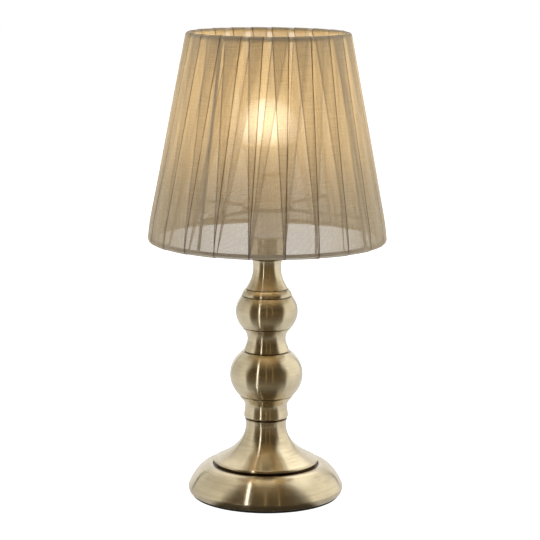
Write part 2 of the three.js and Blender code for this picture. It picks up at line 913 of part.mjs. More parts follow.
const brass = 0xa08c5f;
const group = new THREE.Group();
group.name = "table_lamp";
group.add(
  piece("base_pad", basePad(), 0x1c1b1a, 0.9, 0.0),
  piece("base_weight", baseWeight(), 0x4a4744, 0.8, 0.6),
  piece("base_shell", baseShell(), brass, 0.35, 1.0),
  piece("cord_inlet_bush", cordInletBush(), 0x2b2725, 0.6, 0.0),
  piece("rod_nut", hexNut(lowerNutFoot, smallSides), 0xb9b7b0, 0.4, 1.0),
  piece("rod_washer", rodWasher(), 0xb5b3ac, 0.4, 1.0),
  piece("threaded_rod", threadedRod(), 0xb0ada4, 0.4, 1.0),
  piece("foot_collar", footCollar(), brass, 0.35, 1.0),
  piece("lower_ball", lowerBall(), brass, 0.35, 1.0),
  piece("waist_spool", waistSpool(), brass, 0.35, 1.0),
  piece("upper_ball", upperBall(), brass, 0.35, 1.0),
  piece("bead_ring", beadRing(), brass, 0.35, 1.0),
  piece("neck_vase", neckVase(), brass, 0.35, 1.0),
  piece("holder_cup", holderCup(), brass, 0.35, 1.0),
  piece("column_nut", hexNut(columnNutFoot, smallSides), 0xb9b7b0, 0.4, 1.0),
  piece("holder_base", holderBase(), 0xd8d2c4, 0.5, 0.0),
  piece("holder_skirt", holderSkirt(), 0xe2dccd, 0.5, 0.0),
  piece("holder_insert", holderInsert(), 0xe8e4d8, 0.5, 0.0),
  piece("screw_shell", screwShell(), 0xc9b37a, 0.35, 1.0),
  piece("centre_contact", centreContact(), 0xc8a45c, 0.35, 1.0),
  piece("bulb_contact", bulbContact(), 0xc4c2bb, 0.4, 1.0),
  piece("bulb_insulator", bulbInsulator(), 0x232323, 0.5, 0.0),
  piece("bulb_cap", bulbCap(), 0xc6c4bd, 0.35, 1.0),
  piece("bulb_collar", bulbCollar(), 0xeeeae0, 0.5, 0.0),
  piece("bulb_led_plate", bulbLedPlate(), 0xf2f0ea, 0.5, 0.0),
  piece("bulb_dome", bulbDome(), 0xfff3d6, 0.4, 0.0),
  piece("fitter_ring", fitterRing(), 0xe4e1d9, 0.5, 0.2),
  piece("shade_nut", shadeNut(), 0xe2dccd, 0.5, 0.0),
  piece("shade_bottom_ring", wireRing(bottomRingRadius, bottomRingHeight), 0xdedad0, 0.5, 0.2),
  piece("shade_top_ring", wireRing(topRingRadius, topRingHeight), 0xdedad0, 0.5, 0.2),
  piece("shade_ribbon", shadeRibbon(), 0xb3a48a, 0.9, 0.0),
);
for (let i = 0; i < strutCount; i += 1) {
  group.add(piece("spider_arm_" + (i + 1), spiderArm(i), 0xdedad0, 0.5, 0.2));
  group.add(piece("shade_strut_" + (i + 1), shadeStrut(i), 0xdedad0, 0.5, 0.2));
}

export default group;
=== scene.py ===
"""Table lamp: turned antique brass column on a domed foot, and a tapered shade wound from one sheer ribbon.

Profiles are in millimetres as (radius, height), meshes in metres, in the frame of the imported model.
"""

import math

import bpy
import numpy as np
from mathutils import Matrix


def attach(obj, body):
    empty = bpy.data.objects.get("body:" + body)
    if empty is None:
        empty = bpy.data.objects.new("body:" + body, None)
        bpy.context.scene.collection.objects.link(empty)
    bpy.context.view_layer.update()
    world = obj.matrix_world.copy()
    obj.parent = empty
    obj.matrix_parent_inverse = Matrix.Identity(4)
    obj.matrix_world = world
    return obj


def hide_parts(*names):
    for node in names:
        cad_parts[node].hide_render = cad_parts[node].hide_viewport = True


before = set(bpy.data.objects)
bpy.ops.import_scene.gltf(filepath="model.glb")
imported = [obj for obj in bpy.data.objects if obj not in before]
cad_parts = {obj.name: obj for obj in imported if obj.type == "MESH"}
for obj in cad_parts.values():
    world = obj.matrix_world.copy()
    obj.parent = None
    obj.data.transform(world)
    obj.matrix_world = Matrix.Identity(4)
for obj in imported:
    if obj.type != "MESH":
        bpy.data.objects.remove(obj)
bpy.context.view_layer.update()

MM = 0.001

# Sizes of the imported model, in millimetres
BORE = 5.3
PAD_RADIUS, PAD_THICKNESS = 55.7, 1.4
SHELL_WALL = 1.0
INLET_HEIGHT = 9.6
LOW_RING, HIGH_RING = (86.6, 197.2), (58.8, 347.4)
WIRE = 1.25
STRUT = 1.1
ARM_HEIGHT = 219.7
STRUT_ANGLES = np.radians(-34.5 + 90.0 * np.arange(4))
TURNS, RIBBON = 22, 28.0
PITCH = 2 * np.pi / TURNS
BULB_CENTRE, BULB_RADIUS, DOME_FOOT = 278.4, 22.5, 268.6
CAP_RADIUS, CAP_PITCH = 6.95, 2.82
SLEEVE_RADIUS, SLEEVE_PITCH = 14.0, 2.0

# Weave, in metres: spacing of the warp and of the weft, and where the selvedge starts and is full
WARP_SPACING, WEFT_SPACING = 0.0005, 0.00052
SELVEDGE = (0.0132, 0.0135)

# The photograph's width and its focal length, both in pixels
PHOTO_WIDTH, FOCAL_LENGTH = 540, 2050


# Curves and profiles

def bezier(a, b, c, d, steps=20):
    """Cubic curve from a to d with handles b and c: the Bernstein sum at steps + 1 even parameters."""
    t = np.linspace(0, 1, steps + 1)[:, None]
    a, b, c, d = (np.array(p, float) for p in (a, b, c, d))
    return a * (1 - t) ** 3 + 3 * b * t * (1 - t) ** 2 + 3 * c * t**2 * (1 - t) + d * t**3


def ball_arc(centre, radius, half_height, low, high, steps=40):
    """Arc of an ellipse on the axis between two heights: r = R cos a, z = centre + H sin a."""
    first, last = np.arcsin((low - centre) / half_height), np.arcsin((high - centre) / half_height)
    a = np.linspace(first, last, steps + 1)
    return np.stack([radius * np.cos(a), centre + half_height * np.sin(a)], 1)


def joined(*runs):
    """Runs of points one after another, without a point that repeats the one before it."""
    points = np.concatenate([np.atleast_2d(np.array(r, float)) for r in runs])
    step = np.linalg.norm(np.diff(points, axis=0), axis=1)
    return points[np.concatenate([[True], step > 1e-4])]


def inset(outline, wall):
    """Rising outline moved towards the axis by the wall, each point along its own normal."""
    along = np.gradient(outline, axis=0)
    along /= np.linalg.norm(along, axis=1)[:, None]
    return outline + wall * np.stack([-along[:, 1], along[:, 0]], 1)


def run_length(outline):
    """Distance along the outline at each of its points."""
    return np.concatenate([[0], np.cumsum(np.linalg.norm(np.diff(outline, axis=0), axis=1))])


def with_lips(outline, lip, bore):
    """Rising outline closed through the bore; a parabola over the lip's length rounds both outer corners."""
    s = run_length(outline)
    low, high = (np.array([np.interp(x, s, outline[:, k]) for k in (0, 1)]) for x in (lip, s[-1] - lip))
    kept = outline[(s > lip * 1.05) & (s < s[-1] - lip * 1.05)]
    foot, top, back = outline[0], outline[-1], np.array([lip, 0])
    t = np.linspace(0, 1, 7)[:, None]
    first = (foot - back) * (1 - t) ** 2 + 2 * foot * t * (1 - t) + low * t**2
    last = high * (1 - t) ** 2 + 2 * top * t * (1 - t) + (top - back) * t**2
    return np.concatenate([[(bore, foot[1])], first, kept, last, [(bore, top[1])]])


def rounded(corners, radius, steps=5):
    """Closed profile through the corners, each rounded by a parabola that starts at the radius from it."""
    corners = np.array(corners, float)
    t = np.linspace(0, 1, steps + 1)[None, :, None]
    before, after = np.roll(corners, 1, 0), np.roll(corners, -1, 0)
    gap_a, gap_b = (np.linalg.norm(p - corners, axis=1)[:, None] for p in (before, after))
    reach = np.minimum(np.minimum(gap_a, gap_b) * 0.45, np.reshape(radius, (-1, 1)))
    start = corners + (before - corners) / gap_a * reach
    end = corners + (after - corners) / gap_b * reach
    turn = start[:, None] * (1 - t) ** 2 + 2 * corners[:, None] * t * (1 - t) + end[:, None] * t**2
    return turn.reshape(-1, 2)


# Meshes

def add_mesh(name, points, faces, uv=None, values=None, smooth=35.0):
    """Mesh object at the origin from points in metres, with an optional corner UV map and point values."""
    mesh = bpy.data.meshes.new(name)
    mesh.from_pydata(points, [], faces)
    mesh.polygons.foreach_set("use_smooth", np.ones(len(mesh.polygons), bool))
    if smooth is not None:
        mesh.set_sharp_from_angle(angle=math.radians(smooth))
    if uv is not None:
        corner = np.zeros(len(mesh.loops), np.int32)
        mesh.loops.foreach_get("vertex_index", corner)
        mesh.uv_layers.new(name="weave").data.foreach_set("uv", uv[corner].astype(np.float32).ravel())
    for key, value in (values or {}).items():
        held = mesh.attributes.new(key, "FLOAT", "POINT")
        held.data.foreach_set("value", np.asarray(value, np.float32))
    mesh.update()
    obj = bpy.data.objects.new(name, mesh)
    bpy.context.scene.collection.objects.link(obj)
    return obj


def grid_faces(rows, columns, close_rows=False, close_columns=False):
    """Quads between neighbours of a grid, which may join up at either end."""
    i = np.arange(rows if close_rows else rows - 1)[:, None]
    j = np.arange(columns if close_columns else columns - 1)[None, :]
    up, right = (i + 1) % rows, (j + 1) % columns
    quads = [i * columns + j, i * columns + right, up * columns + right, up * columns + j]
    return np.stack(np.broadcast_arrays(*quads), -1).reshape(-1, 4)


def pole_faces(rows, columns):
    """Fans that close a grid's first and last row on two vertices, which come after the grid's own."""
    j = np.arange(columns)
    k, last, pole = (j + 1) % columns, (rows - 1) * columns, np.full(columns, rows * columns)
    return np.concatenate([np.stack([pole, k, j], 1), np.stack([last + j, last + k, pole + 1], 1)]).tolist()


def turned(name, profile, sides=160, patina_and_shade=None, wave=None, lying=None):
    """Profile (r, z) spun about Z: x = r cos a, y = r sin a, wound so that its faces point outwards.

    A profile that starts and ends on the axis gets one vertex at each pole; any other is a closed loop.
    patina_and_shade is one value per profile point, for patina and painted shade on the brass. wave(r, z, a)
    may change r and z over the grid. lying is the height
    at which the axis lies along Y instead: (x, y, z) becomes (x, z, height - y).
    """
    profile = np.array(profile, float)
    patina_and_shade = np.zeros(len(profile)) if patina_and_shade is None else np.array(patina_and_shade, float)
    poles = profile[0, 0] < 1e-6 and profile[-1, 0] < 1e-6
    r, z = profile.T
    if (r * np.roll(z, -1) - np.roll(r, -1) * z).sum() < 0:
        profile, patina_and_shade = profile[::-1], patina_and_shade[::-1]
    body, darkness = (profile[1:-1], patina_and_shade[1:-1]) if poles else (profile, patina_and_shade)
    a = np.linspace(0, 2 * np.pi, sides, endpoint=False)[None, :]
    r, z = (np.broadcast_to(body[:, k : k + 1], (len(body), sides)) for k in (0, 1))
    if wave:
        r, z = wave(r, z, a)
    points = np.stack([r * np.cos(a), r * np.sin(a), z], -1).reshape(-1, 3)
    faces = grid_faces(len(body), sides, close_rows=not poles, close_columns=True).tolist()
    values = np.repeat(darkness, sides)
    if poles:
        faces += pole_faces(len(body), sides)
        points = np.concatenate([points, [[0, 0, profile[0, 1]], [0, 0, profile[-1, 1]]]])
        values = np.concatenate([values, [patina_and_shade[0], patina_and_shade[-1]]])
    if lying is not None:
        points = np.stack([points[:, 0], points[:, 2], lying - points[:, 1]], 1)
    return add_mesh(name, points * MM, faces, values={"patina_and_shade": values})


def around(radius, azimuth, height):
    """Place at an azimuth that starts at the front and grows towards +X: (r sin a, -r cos a, z)."""
    return np.stack(np.broadcast_arrays(radius * np.sin(azimuth), -radius * np.cos(azimuth), height), -1)


def bar(name, start, end, profile):
    """Round bar of 20 sides: the profile (distance along, radius) carried round a line from start to end."""
    sides = 20
    start, end = np.array(start, float), np.array(end, float)
    along = (end - start) / np.linalg.norm(end - start)
    side = np.cross(along, [0.0, 0.0, 1.0] if abs(along[2]) < 0.9 else [1.0, 0.0, 0.0])
    side /= np.linalg.norm(side)
    over = np.cross(along, side)
    s, r = np.array(profile, float).T
    a = np.linspace(0, 2 * np.pi, sides, endpoint=False)
    ring = side * np.cos(a)[:, None] + over * np.sin(a)[:, None]
    points = start + along * s[:, None, None] + ring * r[:, None, None]
    faces = grid_faces(len(s), sides, close_columns=True).tolist() + pole_faces(len(s), sides)
    points = np.concatenate([points.reshape(-1, 3), [start + along * s[0], start + along * s[-1]]])
    return add_mesh(name, points * MM, faces)


def settle(piece, body, slot, material, *nodes):
    """Piece rides on its body, takes its material, and stands for the CAD nodes. The slot is not used.

    Without a node's name it stands for the node that it is named after.
    """
    piece.data.materials.append(material)
    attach(piece, body)
    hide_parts(*(nodes or (piece.name.removesuffix("_dressed"),)))
    return piece


# Nodes

def put(tree, kind, values=None, **settings):
    """Shader node with its settings; each value is a constant, or the output that feeds the input."""
    made = tree.nodes.new("ShaderNode" + kind)
    for key, value in settings.items():
        setattr(made, key, value)
    for key, value in (values or {}).items():
        if isinstance(value, bpy.types.NodeSocket):
            tree.links.new(value, made.inputs[key])
        else:
            made.inputs[key].default_value = value
    return made


def calc(tree, operation, *values, clamp=False):
    """Output of a Math node."""
    return put(tree, "Math", dict(enumerate(values)), operation=operation, use_clamp=clamp).outputs[0]


def combined(tree, *values):
    """Vector made of up to three values."""
    return put(tree, "CombineXYZ", dict(enumerate(values))).outputs[0]


def own_place(tree):
    """Place on the piece, in its Object coordinates."""
    return put(tree, "TexCoord").outputs["Object"]


def ramp(tree, value, low, high, start=0.0, end=1.0):
    """Value eased from start to end while it goes from low to high."""
    span = {"Value": value, "From Min": low, "From Max": high, "To Min": start, "To Max": end}
    return put(tree, "MapRange", span, interpolation_type="SMOOTHSTEP").outputs[0]


def blend_colours(tree, share, a, b):
    """Colour from a to b by the share, out of a Mix node, whose colour sockets are 6 and 7."""
    return put(tree, "Mix", {0: share, 6: a, 7: b}, data_type="RGBA").outputs[2]


def noise(tree, vector, scale, detail, roughness=0.5, w=None):
    """Noise of about 0 to 1 at a vector, in four dimensions if w is given."""
    values = {"Vector": vector, "Scale": scale, "Detail": detail, "Roughness": roughness}
    if w is not None:
        values["W"] = w
    return put(tree, "TexNoise", values, noise_dimensions="3D" if w is None else "4D").outputs[0]


def node_group(name, inputs, outputs):
    """Empty shader node group; gives its tree, its inputs' sockets and a call that feeds its outputs."""
    tree = bpy.data.node_groups.new(name, "ShaderNodeTree")
    for label, kind, value in inputs:
        socket = tree.interface.new_socket(label, in_out="INPUT", socket_type="NodeSocket" + kind)
        socket.default_value = value
    for label, kind in outputs:
        tree.interface.new_socket(label, in_out="OUTPUT", socket_type="NodeSocket" + kind)
    given, result = tree.nodes.new("NodeGroupInput"), tree.nodes.new("NodeGroupOutput")

    def give(**made):
        """Feed the group's outputs by name."""
        for label, socket in made.items():
            tree.links.new(socket, result.inputs[label])

    return tree, given.outputs, give


def use_group(tree, name, **values):
    """Outputs of the group's node in a tree, where it gets its own values."""
    return put(tree, "Group", values, node_tree=bpy.data.node_groups[name]).outputs


def new_material(name):
    """Material with only an output node; gives the material, its tree and the surface socket."""
    material = bpy.data.materials.new(name)
    material.use_nodes = True
    tree = material.node_tree
    tree.nodes.clear()
    surface = tree.nodes.new("ShaderNodeOutputMaterial").inputs["Surface"]
    return material, tree, surface


def bump(tree, height, distance):
    """Normal of a Bump node fed by a height of 0 to 1 that is worth the distance in metres."""
    return put(tree, "Bump", {"Height": height, "Distance": distance}).outputs[0]


def build_lathe_marks():
    """Streaks left by turning: 4D noise at (x/r a, y/r a, r k) and w = z k, with a for Around, k for Across.

    It runs long round the axis and changes fast along the profile. Fine changes three and a half times as
    fast along the profile as Broad, and two and a half times as fast round the axis.
    """
    tree, given, give = node_group(
        "lathe_marks",
        [("Around", "Float", 1.2), ("Across", "Float", 700.0)],
        [("Broad", "Float"), ("Fine", "Float")],
    )
    x, y, z = put(tree, "SeparateXYZ", {0: own_place(tree)}).outputs[:3]
    y_squared = calc(tree, "MULTIPLY_ADD", y, y, 1e-9)
    r = calc(tree, "SQRT", calc(tree, "ADD", calc(tree, "MULTIPLY", x, x), y_squared))

    def streaks(around, across):
        """Noise that changes by around over a turn and by across along the profile."""
        turn = [calc(tree, "MULTIPLY", calc(tree, "DIVIDE", side, r), around) for side in (x, y)]
        vector = combined(tree, *turn, calc(tree, "MULTIPLY", r, across))
        return noise(tree, vector, 1.0, 2.0, 0.6, w=calc(tree, "MULTIPLY", z, across))

    faster = calc(tree, "MULTIPLY", given["Across"], 3.5)
    longer = calc(tree, "MULTIPLY", given["Around"], 2.5)
    give(Broad=streaks(given["Around"], given["Across"]), Fine=streaks(longer, faster))


def build_mottle():
    """Soft clouds and fine grain on Object coordinates, for moulded, cast and coated finishes."""
    tree, given, give = node_group(
        "mottle",
        [
            ("Light", "Color", (1, 1, 1, 1)),
            ("Dark", "Color", (0, 0, 0, 1)),
            ("Cloud", "Float", 60.0),
            ("Grain", "Float", 1500.0),
            ("Smooth", "Float", 0.4),
            ("Rough", "Float", 0.6),
        ],
        [("Color", "Color"), ("Roughness", "Float"), ("Height", "Float")],
    )
    place = own_place(tree)
    cloud = noise(tree, place, given["Cloud"], 3.0)
    grain = noise(tree, place, given["Grain"], 2.0)
    both = calc(tree, "MULTIPLY_ADD", calc(tree, "SUBTRACT", grain, 0.5), 0.5, cloud)
    share = ramp(tree, both, 0.3, 0.7)
    rough = put(tree, "MapRange", {0: share, 3: given["Smooth"], 4: given["Rough"]}).outputs[0]
    give(Color=blend_colours(tree, share, given["Light"], given["Dark"]), Roughness=rough, Height=grain)


def build_aged_brass():
    """Brushed brass with clouds of duller tone, and brown patina where the patina_and_shade value marks a
    joint, and painted shade where it marks the foot's groove.

    The patina and the painted shade are rougher than the metal and have less of the clear coat.
    """
    tree, given, give = node_group(
        "aged_brass",
        [
            ("Bright", "Color", (0.6, 0.48, 0.28, 1)),
            ("Dull", "Color", (0.45, 0.36, 0.21, 1)),
            ("Patina and shade", "Color", (0.07, 0.042, 0.02, 1)),
        ],
        [("Color", "Color"), ("Roughness", "Float"), ("Coat", "Float"), ("Height", "Float")],
    )
    place = own_place(tree)
    marks = use_group(tree, "lathe_marks", Around=1.1, Across=520.0)
    cloud = noise(tree, place, 38.0, 3.0, 0.6)
    speck = noise(tree, place, 420.0, 2.0, 0.6)
    tone = calc(tree, "MULTIPLY_ADD", calc(tree, "SUBTRACT", marks["Broad"], 0.5), 0.5, cloud)
    metal = blend_colours(tree, ramp(tree, tone, 0.25, 0.75), given["Bright"], given["Dull"])
    patina_and_shade = put(tree, "Attribute", attribute_name="patina_and_shade").outputs["Fac"]
    darkness = calc(tree, "MULTIPLY_ADD", calc(tree, "SUBTRACT", speck, 0.5), 0.55, patina_and_shade)
    darkness = calc(tree, "MULTIPLY_ADD", calc(tree, "SUBTRACT", marks["Fine"], 0.5), 0.35, darkness)
    # darkened is patina at the joints, and painted shade in the foot's groove
    darkened = ramp(tree, darkness, 0.25, 1.0)
    polished, brushed, rougher_where_darkened, coat, coat_lost = 0.2, 0.07, 0.22, 0.28, -0.18
    rough = calc(tree, "MULTIPLY_ADD", marks["Fine"], brushed, polished)
    give(
        Color=blend_colours(tree, darkened, metal, given["Patina and shade"]),
        Roughness=calc(tree, "MULTIPLY_ADD", darkened, rougher_where_darkened, rough),
        Coat=calc(tree, "MULTIPLY_ADD", darkened, coat_lost, coat),
        Height=calc(tree, "MULTIPLY_ADD", marks["Fine"], 0.6, marks["Broad"]),
    )


def build_organza_weave():
    """Sheer ribbon on its own UV in metres, u across its 28 mm and v along.

    Coverage is the share that the threads close: cosines of the warp and the weft at half a millimetre, and
    slubs from noise stretched along each thread. A selvedge closes the last half millimetre at both edges.
    """
    tree, given, give = node_group(
        "organza_weave",
        [
            ("Thread", "Color", (0.6, 0.5, 0.38, 1)),
            ("Shade", "Color", (0.5, 0.4, 0.28, 1)),
            ("Selvedge", "Color", (0.2, 0.13, 0.07, 1)),
            ("Coverage", "Float", 0.54),
        ],
        [("Color", "Color"), ("Coverage", "Float"), ("Height", "Float")],
    )
    place = put(tree, "UVMap", uv_map="weave").outputs[0]
    u, v = put(tree, "SeparateXYZ", {0: place}).outputs[:2]
    warp = calc(tree, "COSINE", calc(tree, "MULTIPLY", u, 2 * math.pi / WARP_SPACING))
    weft = calc(tree, "COSINE", calc(tree, "MULTIPLY", v, 2 * math.pi / WEFT_SPACING))

    def slubs(across, along):
        """Noise that changes by across and by along for each metre of the ribbon."""
        stretched = combined(tree, calc(tree, "MULTIPLY", u, across), calc(tree, "MULTIPLY", v, along))
        return noise(tree, stretched, 1.0, 2.0, 0.6)

    long_slub, cross_slub = slubs(1400.0, 22.0), slubs(60.0, 1800.0)
    edge = ramp(tree, calc(tree, "ABSOLUTE", calc(tree, "SUBTRACT", u, RIBBON * MM / 2)), *SELVEDGE)
    thread_share, slub_share, selvedge_coverage = 0.09, 0.12, 0.96
    crossing, slub = calc(tree, "ADD", warp, weft), calc(tree, "ADD", long_slub, cross_slub)
    threads = calc(tree, "MULTIPLY", crossing, thread_share)
    lines = calc(tree, "SUBTRACT", slub, 1.0)
    open_weave = calc(tree, "ADD", calc(tree, "MULTIPLY_ADD", lines, slub_share, threads), given["Coverage"])
    to_full = calc(tree, "SUBTRACT", selvedge_coverage, open_weave)
    closed = calc(tree, "MULTIPLY_ADD", edge, to_full, open_weave, clamp=True)
    thread = blend_colours(tree, ramp(tree, slub, 0.7, 1.3), given["Shade"], given["Thread"])
    give(Color=blend_colours(tree, edge, thread, given["Selvedge"]), Coverage=closed, Height=crossing)


def brass(name, bright, dull):
    """Antique brass, brushed round the axis: the tangent runs round Z and the gloss spreads across it."""
    material, tree, surface = new_material(name)
    finish = use_group(tree, "aged_brass", Bright=bright, Dull=dull)
    shader = put(
        tree,
        "BsdfPrincipled",
        {
            "Base Color": finish["Color"],
            "Metallic": 1.0,
            "Roughness": finish["Roughness"],
            "Anisotropic": 1.0,
            "Anisotropic Rotation": 0.25,
            "Tangent": put(tree, "Tangent", direction_type="RADIAL", axis="Z").outputs[0],
            "Coat Weight": finish["Coat"],
            "Coat Roughness": 0.1,
            "Normal": bump(tree, finish["Height"], 0.0000018),
        },
    )
    tree.links.new(shader.outputs[0], surface)
    return material


def moulded(name, light, dark, rough, cloud=60.0, grain=1500.0, depth=0.00002, metallic=0.0):
    """Plastic, foam, cast iron or coated wire: mottled colour and roughness, and a grain of the depth."""
    material, tree, surface = new_material(name)
    finish = use_group(
        tree, "mottle", Light=(*light, 1), Dark=(*dark, 1), Cloud=cloud, Grain=grain,
        Smooth=rough[0], Rough=rough[1],
    )
    values = {
        "Base Color": finish["Color"],
        "Metallic": metallic,
        "Roughness": finish["Roughness"],
        "Normal": bump(tree, finish["Height"], depth),
    }
    tree.links.new(put(tree, "BsdfPrincipled", values).outputs[0], surface)
    return material


def drawn_metal(name, light, dark):
    """Plated or drawn metal with faint rings round the axis."""
    material, tree, surface = new_material(name)
    smoothest, roughest = 0.22, 0.4
    marks = use_group(tree, "lathe_marks", Around=1.5, Across=900.0)
    colour = blend_colours(tree, ramp(tree, marks["Broad"], 0.3, 0.7), (*light, 1), (*dark, 1))
    values = {
        "Base Color": colour,
        "Metallic": 1.0,
        "Roughness": put(tree, "MapRange", {0: marks["Fine"], 3: smoothest, 4: roughest}).outputs[0],
        "Normal": bump(tree, marks["Fine"], 0.00001),
    }
    tree.links.new(put(tree, "BsdfPrincipled", values).outputs[0], surface)
    return material


def organza():
    """Sheer ribbon: threads that scatter light back and through, and holes that let the view pass.

    Seen at a slant of 1 / cos, capped at 1 / 0.38, the holes close as its power: 1 - (1 - coverage) ** slant.
    About half of what meets a thread goes through, less where the cloth is turned away. Most of that is
    spread evenly, and a small share keeps on ahead, which is the glow in front of the bulb.
    """
    material, tree, surface = new_material("organza")
    weave = use_group(
        tree,
        "organza_weave",
        Thread=(0.47, 0.39, 0.262, 1),
        Shade=(0.4, 0.328, 0.215, 1),
        Selvedge=(0.1, 0.05, 0.025, 1),
        Coverage=0.49,
    )
    relief = bump(tree, weave["Height"], 0.00004)
    least_cosine, kept_ahead, goes_through, less_at_slant = 0.38, 0.085, 0.52, -0.2
    turned_away = put(tree, "LayerWeight", {"Blend": 0.5}).outputs["Facing"]
    cosine = calc(tree, "MAXIMUM", calc(tree, "SUBTRACT", 1.0, turned_away), least_cosine)
    slant = calc(tree, "DIVIDE", 1.0, cosine)
    hole = calc(tree, "SUBTRACT", 1.0, weave["Coverage"])
    closed = calc(tree, "SUBTRACT", 1.0, calc(tree, "POWER", hole, slant))
    facing = put(
        tree,
        "BsdfPrincipled",
        {
            "Base Color": weave["Color"],
            "Roughness": 0.55,
            "Sheen Weight": 0.15,
            "Sheen Roughness": 0.4,
            "Alpha": closed,
            "Normal": relief,
        },
    )
    spread = put(tree, "BsdfTranslucent", {"Color": weave["Color"], "Normal": relief})
    onward = blend_colours(tree, 0.45, weave["Color"], (1, 1, 1, 1))
    ahead = put(tree, "BsdfRefraction", {"Color": onward, "Roughness": 0.9, "IOR": 1.3})
    through = put(tree, "MixShader", {0: kept_ahead, 1: spread.outputs[0], 2: ahead.outputs[0]})
    holes = put(tree, "BsdfTransparent")
    passing = put(tree, "MixShader", {0: closed, 1: holes.outputs[0], 2: through.outputs[0]})
    passed = calc(tree, "MULTIPLY_ADD", turned_away, less_at_slant, goes_through)
    both = put(tree, "MixShader", {0: passed, 1: facing.outputs[0], 2: passing.outputs[0]})
    tree.links.new(both.outputs[0], surface)
    return material


def lit_diffuser():
    """Frosted dome of the lit bulb, dimmer and warmer towards its foot, and with painted shade where it turns
    away from the view.
    """
    material, tree, surface = new_material("lit_diffuser")
    finish = use_group(
        tree, "mottle", Light=(0.64, 0.62, 0.58, 1), Dark=(0.57, 0.55, 0.51, 1), Cloud=90.0, Grain=2500.0,
        Smooth=0.35, Rough=0.5,
    )
    height = put(tree, "SeparateXYZ", {0: own_place(tree)}).outputs[2]
    turned_away = put(tree, "LayerWeight", {"Blend": 0.5}).outputs["Facing"]
    at_foot, limb_shade = 0.45, 0.42
    rise = ramp(tree, height, (DOME_FOOT - 2) * MM, (DOME_FOOT + 10) * MM, at_foot)
    # The emission fades towards the dome's edge as seen, a painted shade that shows its outline.
    strength = calc(tree, "MULTIPLY", rise, ramp(tree, turned_away, 0.1, 1.0, 1.0, limb_shade))
    glow = blend_colours(tree, rise, (1.0, 0.9, 0.7, 1), (0.98, 0.99, 0.98, 1))
    values = {
        "Base Color": finish["Color"],
        "Roughness": finish["Roughness"],
        "Emission Color": glow,
        "Emission Strength": strength,
        "Normal": bump(tree, finish["Height"], 0.00001),
    }
    tree.links.new(put(tree, "BsdfPrincipled", values).outputs[0], surface)
    return material


# Camera, floor and light

def make_camera():
    """Pinhole fitted to the ellipses of both rings and of the foot, looking down by the tilt."""
    sensor, tilt, roll, place = 36.0, 10.033, 0.42, (0.0022, -1.5121, 0.43993)
    data = bpy.data.cameras.new("camera")
    data.sensor_width = sensor
    data.lens = sensor * FOCAL_LENGTH / PHOTO_WIDTH
    data.clip_start, data.clip_end = 0.05, 60
    camera = bpy.data.objects.new("camera", data)
    bpy.context.scene.collection.objects.link(camera)
    turn = Matrix.Rotation(math.radians(90 - tilt), 4, "X") @ Matrix.Rotation(math.radians(roll), 4, "Z")
    camera.matrix_world = Matrix.Translation(place) @ turn
    bpy.context.scene.camera = camera


def white_for_seen(tree, in_gloss=1.0):
    """1 for camera and transmission rays, the given share for glossy rays, 0 for the rest."""
    path = put(tree, "LightPath").outputs
    gloss = calc(tree, "MULTIPLY", path["Is Glossy Ray"], in_gloss)
    seen = calc(tree, "MAXIMUM", path["Is Camera Ray"], path["Is Transmission Ray"])
    return calc(tree, "MAXIMUM", seen, gloss)


def make_world(diffuse_level):
    """White to look at, and a plain grey level as light."""
    world = bpy.data.worlds.new("studio")
    bpy.context.scene.world = world
    world.use_nodes = True
    tree = world.node_tree
    tree.nodes.clear()
    strength = put(tree, "MapRange", {0: white_for_seen(tree), 3: diffuse_level, 4: 1.0}).outputs[0]
    sky = put(tree, "Background", {"Color": (1, 1, 1, 1), "Strength": strength})
    tree.links.new(sky.outputs[0], tree.nodes.new("ShaderNodeOutputWorld").inputs["Surface"])


def make_floor(fill):
    """Pale disc that keeps the lamp's shadow; the fill brings it up to white where nothing shades it."""
    material, tree, surface = new_material("floor")
    in_gloss, grey = 0.1, (0.82, 0.82, 0.82, 1)
    glow = calc(tree, "MULTIPLY", white_for_seen(tree, in_gloss), fill)
    lit = put(tree, "BsdfDiffuse", {"Color": grey})
    filled = put(tree, "Emission", {"Color": (1, 1, 1, 1), "Strength": glow})
    tree.links.new(put(tree, "AddShader", {0: lit.outputs[0], 1: filled.outputs[0]}).outputs[0], surface)
    reach, depth = 6000, -4
    floor = turned("floor", [(0, depth), (reach, depth), (reach, 0), (0, 0)], sides=96)
    floor.data.materials.append(material)


def smooth_step(x, low, high):
    """0 below low, 1 above high, and 3t^2 - 2t^3 between."""
    t = np.clip((x - low) / (high - low), 0, 1)
    return t**2 * (3 - 2 * t)


def band(x, middle, half, soft):
    """1 within half of the middle and 0 outside, eased over soft to each side."""
    return 1 - smooth_step(np.abs(x - middle), half - soft, half + soft)


def painted(base, *layers):
    """Colours of the base moved towards each layer's colour by the layer's share, one after another."""
    for colour, share in layers:
        base = base + (np.array(colour) - base) * share[..., None]
    return base


# What the brass mirrors: the dark room in front, and a strip light with the azimuth of the faces that show it
FRONT_WARM = (0.16, 0.108, 0.05)
FRONT_HIGH = (0.17, 0.12, 0.062)
FRONT_DEEP = (0.055, 0.042, 0.024)
STRIP_LIGHT = (8.0, 8.0, 8.2)
STRIP_SIDE, STRIP_HALF, STRIP_SOFT = -14, 0.7, 0.25
LOOKING_DOWN = math.radians(13)


def fan_angle(toward, side):
    """Degrees between directions and the fan that a turned face at the azimuth mirrors, however steep it is.

    Such faces have normals in one upright plane with the normal m, so r . m = v . m for every reflection r of
    the view direction v, which looks down at the lower half of the lamp.
    """
    side = math.radians(side)
    m = np.array([math.cos(side), math.sin(side), 0.0])
    view = np.array([0.0, math.cos(LOOKING_DOWN), -math.sin(LOOKING_DOWN)])
    return np.degrees(np.arcsin(toward @ m) - np.arcsin(view @ m))


